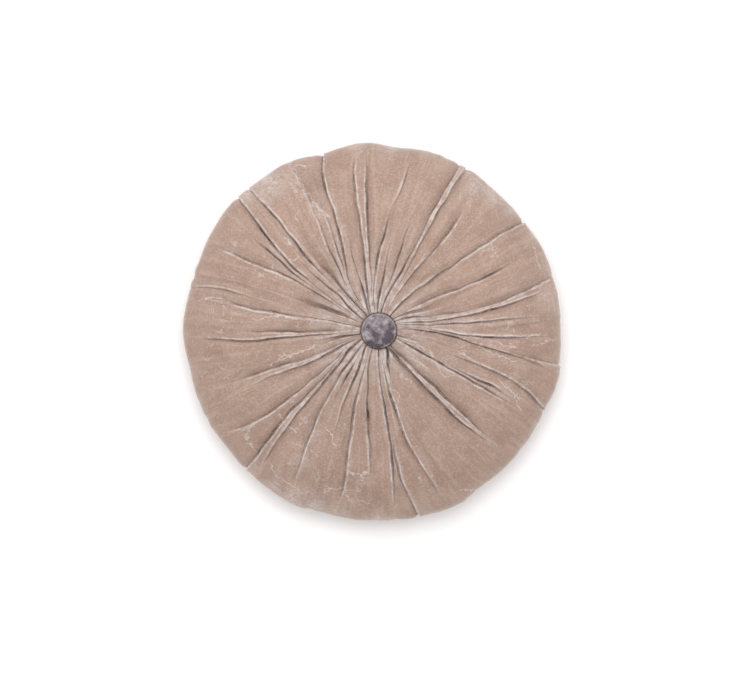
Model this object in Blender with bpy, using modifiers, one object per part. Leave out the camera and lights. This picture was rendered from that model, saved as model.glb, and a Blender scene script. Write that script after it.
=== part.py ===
"""Round gathered cushion with a covered button, lying on its back.

One tube of velvet is gathered at both ends and filled. Its front gathers run out from a
covered button, some fade on the crown and some go over the edge to the back. +Z is up, the
face looks up, and the origin is on the floor under the middle of the footprint.
"""

import math

import bmesh
import bpy

MM = 0.001

# Driving sizes, in millimetres
THICKNESS = 94.0
SEAT_HEIGHT = 59.0
BUTTON_DIAMETER = 37.5
BUTTON_HEIGHT = 11.0
SEAT_GAP = 0.3

# How far the edge lies from the button, all the way round: (degrees, millimetres). The
# button is sewn about 7 mm off the middle of the footprint.
EDGE = (
    (0, 193.5), (12, 194.5), (25, 195.0), (40, 194.5), (50, 193.5), (60, 197.5),
    (72, 198.5), (84, 197.0), (95, 200.5), (106, 199.0), (120, 204.5), (130, 205.5),
    (140, 209.3), (150, 207.0), (166, 205.5), (180, 208.0), (192, 205.0), (205, 206.5),
    (217, 204.5), (230, 205.0), (245, 206.0), (254, 202.0), (270, 202.0), (283, 202.8),
    (295, 203.0), (304, 198.5), (320, 197.3), (334, 196.5), (345, 199.5), (355, 195.0),
)

# The cushion's section from the front's middle, over the edge, to the back's middle.
# (path: 0 front middle, 1 edge, 2 back middle; share of the edge radius; height in mm)
SECTION = (
    (0.00, 0.000, SEAT_HEIGHT),
    (0.06, 0.070, SEAT_HEIGHT),
    (0.10, 0.100, 61.0),
    (0.20, 0.190, 70.0),
    (0.35, 0.330, 82.0),
    (0.50, 0.480, 90.8),
    (0.62, 0.610, THICKNESS),
    (0.74, 0.750, 91.5),
    (0.84, 0.870, 81.5),
    (0.92, 0.955, 65.5),
    (1.00, 1.000, 44.0),
    (1.08, 0.955, 22.5),
    (1.16, 0.870, 8.5),
    (1.26, 0.760, 1.5),
    (1.34, 0.660, 0.0),
    (1.66, 0.300, 0.0),
    (1.78, 0.200, 3.0),
    (1.90, 0.110, 10.0),
    (1.96, 0.040, 15.0),
    (2.00, 0.000, 15.5),
)

# Where the rings of the mesh lie on that path
RINGS = (
    0.06, 0.09, 0.13, 0.18, 0.24, 0.31, 0.39, 0.47, 0.55, 0.63, 0.71, 0.78, 0.84, 0.89,
    0.93, 0.97, 1.00, 1.035, 1.075, 1.12, 1.18, 1.26, 1.34, 1.50, 1.66, 1.74, 1.83, 1.92,
)

# A row for each fold, anticlockwise: its angle about the button at the four shares of the
# radius in FOLD_SHARES, then its depth in millimetres at the same four.
FOLD_SHARES = (0.12, 0.30, 0.60, 1.00)
FOLDS = (
    # name            angles at the shares            depths at the shares
    ("east_low",      (6, -2, -9.2, -10.8),           (3.0, 4.5, 4.0, 3.0)),
    ("east_short",    (11, -0.4, -3.1, -2),           (3.0, 3.0, 3.0, 0.0)),
    ("east_mid",      (18, 5.2, 5.1, 4.6),            (3.0, 3.5, 3.0, 0.0)),
    ("east_high",     (24, 10.2, 11.5, 16.4),         (3.0, 3.5, 4.0, 1.5)),
    ("northeast_low", (44, 28, 26.6, 27.2),           (4.0, 6.0, 3.5, 0.3)),
    ("northeast",     (53.5, 46.8, 40.5, 36.6),       (4.0, 5.0, 3.5, 4.0)),
    ("northeast_end", (67, 60, 54.8, 55.5),           (3.0, 4.0, 4.0, 0.3)),
    ("ridge_right",   (76, 65, 64.2, 62),             (3.0, 3.5, 5.0, 3.0)),
    ("ridge_left",    (82, 69.5, 66.4, 64.4),         (3.0, 3.5, 3.0, 2.0)),
    ("north_slit",    (87, 76, 73.8, 72.5),           (3.0, 5.0, 1.0, 0.0)),
    ("north_hollow",  (95.5, 84.5, 79, 77),           (4.0, 3.5, 0.5, 0.0)),
    ("north_bent",    (103, 92.5, 84.3, 81.2),        (3.0, 5.0, 3.5, 1.5)),
    ("north_right",   (108.5, 97.3, 95.9, 92),        (3.0, 3.5, 4.0, 0.3)),
    ("north_left",    (113, 102.5, 100, 96.8),        (3.0, 4.0, 4.0, 2.5)),
    ("north_fade",    (118, 110, 107, 104.5),         (4.0, 3.5, 0.5, 0.0)),
    ("northwest_far", (126, 119.5, 111.2, 107.6),     (3.0, 4.5, 4.5, 4.0)),
    ("northwest_mid", (131, 124, 118.8, 118),         (3.0, 5.0, 3.0, 0.3)),
    ("dark_hollow",   (138, 130.8, 129.5, 127.5),     (4.0, 6.0, 1.0, 0.0)),
    ("northwest",     (143, 135.6, 133.4, 132.2),     (3.0, 4.0, 4.0, 3.0)),
    ("west_top",      (148, 144.8, 142, 136.6),       (3.0, 4.0, 4.0, 4.0)),
    ("west_high",     (152, 148.2, 150.3, 152.6),     (3.0, 4.0, 4.0, 3.0)),
    ("west_hollow",   (157, 156.3, 158.5, 161),       (4.0, 6.0, 0.5, 0.5)),
    ("west_mid",      (168, 169, 170.1, 168),         (3.0, 3.5, 3.0, 1.5)),
    ("west_short",    (178, 180.6, 180, 178),         (3.0, 4.0, 3.0, 0.0)),
    ("west_low",      (186, 183.8, 184.6, 181.8),     (3.0, 3.5, 4.0, 2.5)),
    ("west_fade",     (193, 190, 190.5, 190.5),       (4.0, 3.0, 0.5, 0.0)),
    ("southwest_top", (200, 203, 199.9, 199),         (4.0, 5.0, 4.0, 0.3)),
    ("southwest_mid", (206, 214.5, 217, 213),         (3.0, 3.5, 3.5, 1.5)),
    ("southwest",     (211.5, 220.7, 223.4, 226.4),   (4.0, 5.0, 5.0, 4.0)),
    ("southwest_end", (223, 229.2, 236.3, 241),       (3.0, 3.5, 4.0, 0.5)),
    ("south_hollow",  (234, 243.2, 247, 249),         (5.0, 5.0, 0.5, 0.0)),
    ("south_left",    (245, 252.7, 255.2, 257),       (3.0, 4.0, 4.0, 0.5)),
    ("south_slit",    (252, 260, 265.2, 266),         (3.0, 5.0, 2.5, 0.0)),
    ("south",         (268, 272.6, 275.6, 274.6),     (4.0, 4.5, 4.0, 1.0)),
    ("south_branch",  (272, 275.2, 278, 282.4),       (2.0, 1.0, 2.0, 3.0)),
    ("south_right",   (276, 280.2, 284.6, 291),       (3.0, 4.0, 4.0, 0.7)),
    ("button_slit",   (289, 292, 297, 302),           (4.0, 1.0, 0.0, 0.0)),
    ("ribbon_left",   (301, 308.4, 311.5, 314.5),     (4.0, 5.0, 5.0, 0.5)),
    ("ribbon_right",  (308, 313.8, 315.2, 318),       (4.0, 5.0, 4.0, 0.3)),
    ("southeast",     (337, 332, 330.4, 327),         (4.0, 4.5, 4.5, 0.3)),
    ("southeast_low", (345, 342.5, 340.4, 334.6),     (3.0, 2.0, 4.0, 3.5)),
)

# The folds start beside the flat seat under the button, over this stretch of the radius.
SEAT_SHARES = (0.065, 0.10)
# Across a fold the cloth rolls down into a narrow valley, at most this far from its line.
SHOULDER = 13.0
# Columns of the mesh between two folds, by how far apart they lie on the crown, in degrees.
# The first and the last of them stand close to the folds, so that the valley stays narrow.
LOBE_COLUMNS = ((4.0, 2), (7.0, 3), (12.0, 4), (360.0, 6))
BESIDE_FOLD = 0.14
CROWN_SHARE = 0.60

# On the back the folds from the edge are pressed shallow and fade out, then the cloth
# gathers again at the middle. Each stretch is a part of the section's path.
BACK_PRESSED = 0.4
BACK_GATHER = 3.0
PRESSED_PATH = (1.26, 1.50)
FADED_PATH = (1.60, 1.96)
GATHERED_PATH = (1.66, 1.90)
# Half the stretch of path over which the section's slope is measured
SLOPE_REACH = 0.004

# The button's outline from its top middle down to its foot: (share of radius, of height)
BUTTON_OUTLINE = (
    (0.00, 1.000), (0.30, 0.985), (0.55, 0.935), (0.76, 0.850), (0.91, 0.720),
    (0.985, 0.570), (1.00, 0.450), (0.975, 0.320), (0.90, 0.180), (0.74, 0.040),
    (0.62, 0.000), (0.00, 0.000),
)
BUTTON_STEPS = 44

VELVET = (0.46, 0.335, 0.275, 1.0)
BUTTON_VELVET = (0.22, 0.185, 0.195, 1.0)


def smooth(xs, ys, x):
    """The value at x of a curve through the points (xs, ys) that never overshoots them."""
    if x <= xs[0]:
        return ys[0]
    if x >= xs[-1]:
        return ys[-1]
    slopes = [(ys[i + 1] - ys[i]) / (xs[i + 1] - xs[i]) for i in range(len(xs) - 1)]
    inner = [mean_slope(a, b) for a, b in zip(slopes, slopes[1:])]
    tangents = [slopes[0], *inner, slopes[-1]]
    i = max(k for k in range(len(xs) - 1) if xs[k] <= x)
    width = xs[i + 1] - xs[i]
    t = (x - xs[i]) / width
    rise = ys[i + 1] - ys[i]
    start, end = tangents[i] * width, tangents[i + 1] * width
    return ys[i] + t * (start + t * (3 * rise - 2 * start - end + t * (start + end - 2 * rise)))


def mean_slope(a, b):
    """The harmonic mean of two slopes, or level where they differ in sign."""
    return 2 * a * b / (a + b) if a * b > 0 else 0.0


def step_over(x, stretch):
    """0 before the stretch, 1 after it, and a soft step between."""
    low, high = stretch
    t = min(max((x - low) / (high - low), 0.0), 1.0)
    return t * t * (3 - 2 * t)


def edge_radius(angle):
    """How far the edge lies from the button in that direction."""
    rows = [(a + turn, r) for turn in (-360, 0, 360) for a, r in EDGE]
    return smooth([a for a, _ in rows], [r for _, r in rows], angle % 360)


def section_at(path):
    """(share of the edge radius, height) on the section."""
    paths = [row[0] for row in SECTION]
    share = smooth(paths, [row[1] for row in SECTION], path)
    height = smooth(paths, [row[2] for row in SECTION], path)
    return share, height


def inward_at(path, radius):
    """The way into the filling at that place on the section, as (outwards, up)."""
    near, far = section_at(path - SLOPE_REACH), section_at(path + SLOPE_REACH)
    along_out, along_up = (far[0] - near[0]) * radius, far[1] - near[1]
    length = math.hypot(along_out, along_up)
    return along_up / length, -along_out / length


def fold_angle(fold, share, path):
    """A fold's angle: it follows its row on the front and runs straight on the back."""
    return smooth(FOLD_SHARES, fold[1], share if path < 1 else 1.0)


def fold_depth(fold, share, path):
    """A fold's depth. It is nothing under the button, where the seat is flat."""
    if path <= 1:
        return smooth(FOLD_SHARES, fold[2], share) * step_over(share, SEAT_SHARES)
    pressed = 1 - (1 - BACK_PRESSED) * step_over(path, PRESSED_PATH)
    from_edge = fold[2][-1] * pressed * (1 - step_over(path, FADED_PATH))
    return max(from_edge, BACK_GATHER * step_over(path, GATHERED_PATH))


def lobe_places(first, second):
    """Where the columns lie between two folds, as shares of the way, the first fold included."""
    start, end = (smooth(FOLD_SHARES, fold[1], CROWN_SHARE) for fold in (first, second))
    apart = (end - start) % 360
    count = next(columns for limit, columns in LOBE_COLUMNS if apart < limit)
    spread = (1 - 2 * BESIDE_FOLD) / (count - 1)
    return [0.0, *(BESIDE_FOLD + spread * k for k in range(count))]


def roll_off(distance, width):
    """The share of a fold's depth at a distance from its line: a quarter round."""
    x = min(distance / width, 1.0)
    return 1 - math.sqrt(1 - (1 - x) ** 2)


def columns():
    """A row for each column of the mesh: (fold before, fold after, place between them)."""
    rows = []
    for i, first in enumerate(FOLDS):
        second = FOLDS[(i + 1) % len(FOLDS)]
        rows += [(first, second, place) for place in lobe_places(first, second)]
    return rows


def cushion_point(path, column):
    """A point of the cover, in millimetres about the button's axis."""
    first, second, place = column
    share, height = section_at(path)
    start, end = (fold_angle(fold, share, path) for fold in (first, second))
    apart = (end - start) % 360
    angle = start + place * apart
    edge = edge_radius(angle)
    width = math.radians(apart) * share * edge
    shoulder = min(SHOULDER, width / 2)
    depth = fold_depth(first, share, path) * roll_off(place * width, shoulder)
    depth += fold_depth(second, share, path) * roll_off((1 - place) * width, shoulder)
    outwards, up = inward_at(path, edge)
    radius = share * edge + depth * outwards
    turn = math.radians(angle)
    return radius * math.cos(turn), radius * math.sin(turn), height + depth * up


def add_material(obj, name, colour):
    """Gives the object its own rough, non-metallic cloth material."""
    material = bpy.data.materials.new(name)
    material.use_nodes = True
    shader = material.node_tree.nodes["Principled BSDF"]
    shader.inputs["Base Color"].default_value = colour
    shader.inputs["Roughness"].default_value = 0.9
    shader.inputs["Metallic"].default_value = 0.0
    obj.data.materials.append(material)


def make_cushion(collection):
    """A ball whose points are moved to the folded cover, ring by ring and column by column."""
    across = columns()
    mesh = bpy.data.meshes.new("cushion")
    ball = bmesh.new()
    bmesh.ops.create_uvsphere(
        ball, u_segments=len(across), v_segments=len(RINGS) + 1, radius=1.0
    )
    step_down = math.pi / (len(RINGS) + 1)
    step_round = 2 * math.pi / len(across)
    for vertex in ball.verts:
        ring = round(math.acos(max(-1.0, min(1.0, vertex.co.z))) / step_down) - 1
        if ring < 0 or ring == len(RINGS):
            _, height = section_at(0.0 if ring < 0 else 2.0)
            vertex.co = (0.0, 0.0, height * MM)
            continue
        column = round(math.atan2(vertex.co.y, vertex.co.x) / step_round) % len(across)
        vertex.co = [MM * value for value in cushion_point(RINGS[ring], across[column])]
    ball.to_mesh(mesh)
    ball.free()
    cushion = bpy.data.objects.new("cushion", mesh)
    collection.objects.link(cushion)
    mesh.shade_smooth()
    add_material(cushion, "rose velvet", VELVET)
    return cushion


def make_button(collection):
    """The covered button, turned about its own axis."""
    mesh = bpy.data.meshes.new("button")
    outline = bmesh.new()
    points = [
        outline.verts.new((share * BUTTON_DIAMETER / 2 * MM, 0.0, height * BUTTON_HEIGHT * MM))
        for share, height in BUTTON_OUTLINE
    ]
    for upper, lower in zip(points, points[1:]):
        outline.edges.new((upper, lower))
    outline.to_mesh(mesh)
    outline.free()
    button = bpy.data.objects.new("button", mesh)
    collection.objects.link(button)
    turn = button.modifiers.new("turn", "SCREW")
    turn.steps = turn.render_steps = BUTTON_STEPS
    turn.use_merge_vertices = True
    turn.merge_threshold = 0.00005
    add_material(button, "mauve velvet", BUTTON_VELVET)
    return button


def footprint_middle(obj):
    """The middle of the object's own footprint, in metres."""
    across = [vertex.co.x for vertex in obj.data.vertices]
    along = [vertex.co.y for vertex in obj.data.vertices]
    return (min(across) + max(across)) / 2, (min(along) + max(along)) / 2


def main():
    for obj in list(bpy.data.objects):
        bpy.data.objects.remove(obj)
    parts = bpy.data.collections.new("gathered cushion")
    bpy.context.scene.collection.children.link(parts)
    cushion = make_cushion(parts)
    button = make_button(parts)
    middle = footprint_middle(cushion)
    cushion.location = (-middle[0], -middle[1], 0.0)
    button.location = (-middle[0], -middle[1], (SEAT_HEIGHT + SEAT_GAP) * MM)


main()
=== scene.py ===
# %% [markdown]
# A round velvet cushion, gathered to a covered button
#
# The real thing is a wide strip of velvet sewn into a tube. Each end of the tube is run on a
# gathering thread and drawn up tight, the filling goes in before the second end is closed, and
# a covered button is sewn over the gathers in the middle of the face. This lesson dresses the
# plain solids of that cushion: the sizes stay as they are, and the cloth gets its creases, its
# crushed pile and its sheen.

# %% Load the frame
import math

import bpy
import numpy as np
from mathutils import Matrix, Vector, kdtree, noise


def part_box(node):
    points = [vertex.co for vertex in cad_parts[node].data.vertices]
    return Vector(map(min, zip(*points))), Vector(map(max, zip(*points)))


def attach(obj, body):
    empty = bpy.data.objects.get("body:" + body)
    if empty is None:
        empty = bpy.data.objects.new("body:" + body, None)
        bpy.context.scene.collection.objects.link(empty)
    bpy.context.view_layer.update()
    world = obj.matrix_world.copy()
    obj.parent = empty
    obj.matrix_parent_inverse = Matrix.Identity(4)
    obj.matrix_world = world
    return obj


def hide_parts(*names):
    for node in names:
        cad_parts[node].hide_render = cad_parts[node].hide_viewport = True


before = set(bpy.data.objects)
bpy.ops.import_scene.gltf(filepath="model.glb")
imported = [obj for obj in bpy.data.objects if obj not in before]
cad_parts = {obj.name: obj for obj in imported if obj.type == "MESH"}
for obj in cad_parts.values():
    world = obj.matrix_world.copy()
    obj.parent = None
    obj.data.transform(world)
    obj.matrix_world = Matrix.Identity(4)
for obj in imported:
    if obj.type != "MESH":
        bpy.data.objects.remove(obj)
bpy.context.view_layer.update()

# %% [markdown]
# Where things are
#
# The button isn't quite in the middle of the cushion, and every crease runs out from the
# button. So all places below are given about the button's axis, as an angle anticlockwise
# from the right and a distance. Lengths are in millimetres until the very end, when they are
# turned into Blender's metres.

# %% The button's axis and the main heights
MM = 0.001
SEAT_GAP = 0.3
low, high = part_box("button")
BUTTON_AXIS = ((low[0] + high[0]) / 2 / MM, (low[1] + high[1]) / 2 / MM)
BUTTON_RADIUS = (high[0] - low[0]) / 2 / MM
BUTTON_FOOT = low[2] / MM
BUTTON_HEIGHT = (high[2] - low[2]) / MM
SEAT_HEIGHT = BUTTON_FOOT - SEAT_GAP
print("button axis at", BUTTON_AXIS, "radius", BUTTON_RADIUS)

# %% [markdown]
# Curves through a few points
#
# A cushion has no straight lines, and a curve that overshoots would put bumps where the cloth
# has none. A cubic whose slopes are harmonic means of the slopes beside each point passes
# through all points and never overshoots. Blender's own F-curves could do it too, but a small
# function keeps the tables below readable.

# %% A curve that never overshoots
class Curve:
    """Values at any place, from rows of values at a few places."""

    def __init__(self, places, values):
        self.places = np.array(places, float)
        self.values = np.array(values, float)
        steps = np.diff(self.places)
        slopes = np.diff(self.values, axis=-1) / steps
        before, after = slopes[..., :-1], slopes[..., 1:]
        same_way = before * after > 0
        total = np.where(same_way, before + after, 1.0)
        inner = np.where(same_way, 2 * before * after / total, 0.0)
        ends = slopes[..., :1], slopes[..., -1:]
        self.tangents = np.concatenate([ends[0], inner, ends[1]], axis=-1)

    def at(self, place):
        place = float(np.clip(place, self.places[0], self.places[-1]))
        i = int(np.clip(np.searchsorted(self.places, place, "right") - 1, 0, len(self.places) - 2))
        width = self.places[i + 1] - self.places[i]
        t = (place - self.places[i]) / width
        low, high = self.values[..., i], self.values[..., i + 1]
        start, end = self.tangents[..., i] * width, self.tangents[..., i + 1] * width
        rise = high - low
        bend = 3 * rise - 2 * start - end + t * (start + end - 2 * rise)
        return low + t * (start + t * bend)


def step_over(x, low, high):
    """0 before low, 1 after high, and a soft step between."""
    t = np.clip((np.asarray(x, float) - low) / (high - low), 0.0, 1.0)
    return t * t * (3 - 2 * t)


# %% [markdown]
# The cushion's form
#
# Two tables give the plain form, before any crease. EDGE is the outline as seen from above. It
# isn't a circle: the cloth bulges between the folds that go over the edge. SECTION runs from
# the middle of the face, over the edge, to the middle of the back. The face dips to the button,
# the crown stands highest about 120 mm out, and the back is flat where the cushion lies on it.

# %% The outline and the section
EDGE = (
    (0, 193.5), (12, 194.5), (25, 195.0), (40, 194.5), (50, 193.5), (60, 197.5),
    (72, 198.5), (84, 197.0), (95, 200.5), (106, 199.0), (120, 204.5), (130, 205.5),
    (140, 209.3), (150, 207.0), (166, 205.5), (180, 208.0), (192, 205.0), (205, 206.5),
    (217, 204.5), (230, 205.0), (245, 206.0), (254, 202.0), (270, 202.0), (283, 202.8),
    (295, 203.0), (304, 198.5), (320, 197.3), (334, 196.5), (345, 199.5), (355, 195.0),
)
# The edge's distance wherever it needn't be exact, and how high the dimple of the back goes
MEAN_EDGE = 200.0
BACK_DIMPLE = 15.5
# (path: 0 face middle, 1 edge, 2 back middle; share of the edge's distance; height)
SECTION = (
    (0.00, 0.000, SEAT_HEIGHT),
    (0.06, 0.070, SEAT_HEIGHT),
    (0.10, 0.100, 61.0),
    (0.20, 0.190, 70.0),
    (0.35, 0.330, 82.0),
    (0.50, 0.480, 90.8),
    (0.62, 0.610, 94.0),
    (0.74, 0.750, 91.5),
    (0.84, 0.870, 81.5),
    (0.92, 0.955, 65.5),
    (1.00, 1.000, 44.0),
    (1.08, 0.955, 22.5),
    (1.16, 0.870, 8.5),
    (1.26, 0.760, 1.5),
    (1.34, 0.660, 0.0),
    (1.66, 0.300, 0.0),
    (1.78, 0.200, 3.0),
    (1.90, 0.110, 10.0),
    (1.96, 0.040, 15.0),
    (2.00, 0.000, BACK_DIMPLE),
)

edge_rows = [(a + turn, r) for turn in (-360, 0, 360) for a, r in EDGE]
edge_curve = Curve(*np.array(edge_rows).T)
EDGE_SAMPLES = np.array([edge_curve.at(angle) for angle in range(361)])
section_paths, *section_values = np.array(SECTION).T
section_curve = Curve(section_paths, section_values)


def edge_distance(angles):
    """How far the edge lies from the button in those directions."""
    return np.interp(np.asarray(angles) % 360, np.arange(361), EDGE_SAMPLES)


print("edge from", EDGE_SAMPLES.min(), "to", EDGE_SAMPLES.max(), "mm from the button")

# %% [markdown]
# The creases
#
# The creases make this cushion what it is. Each is a row: its name, how it is laid, which side
# of it stands up as a roll, and its angle and depth at eight shares of the way from the button
# to the edge. A sharp crease is a tuck whose sides meet in a line. A soft one is a trough. With
# lap 1 the roll is on the anticlockwise side, with -1 on the clockwise side, and with 0 both
# sides are alike; the first number counts near the button and the second near the edge. Many
# creases fade on the crown, so their depth falls to nothing there. A crease with no depth at
# the edge has ended a little before it.

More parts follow.
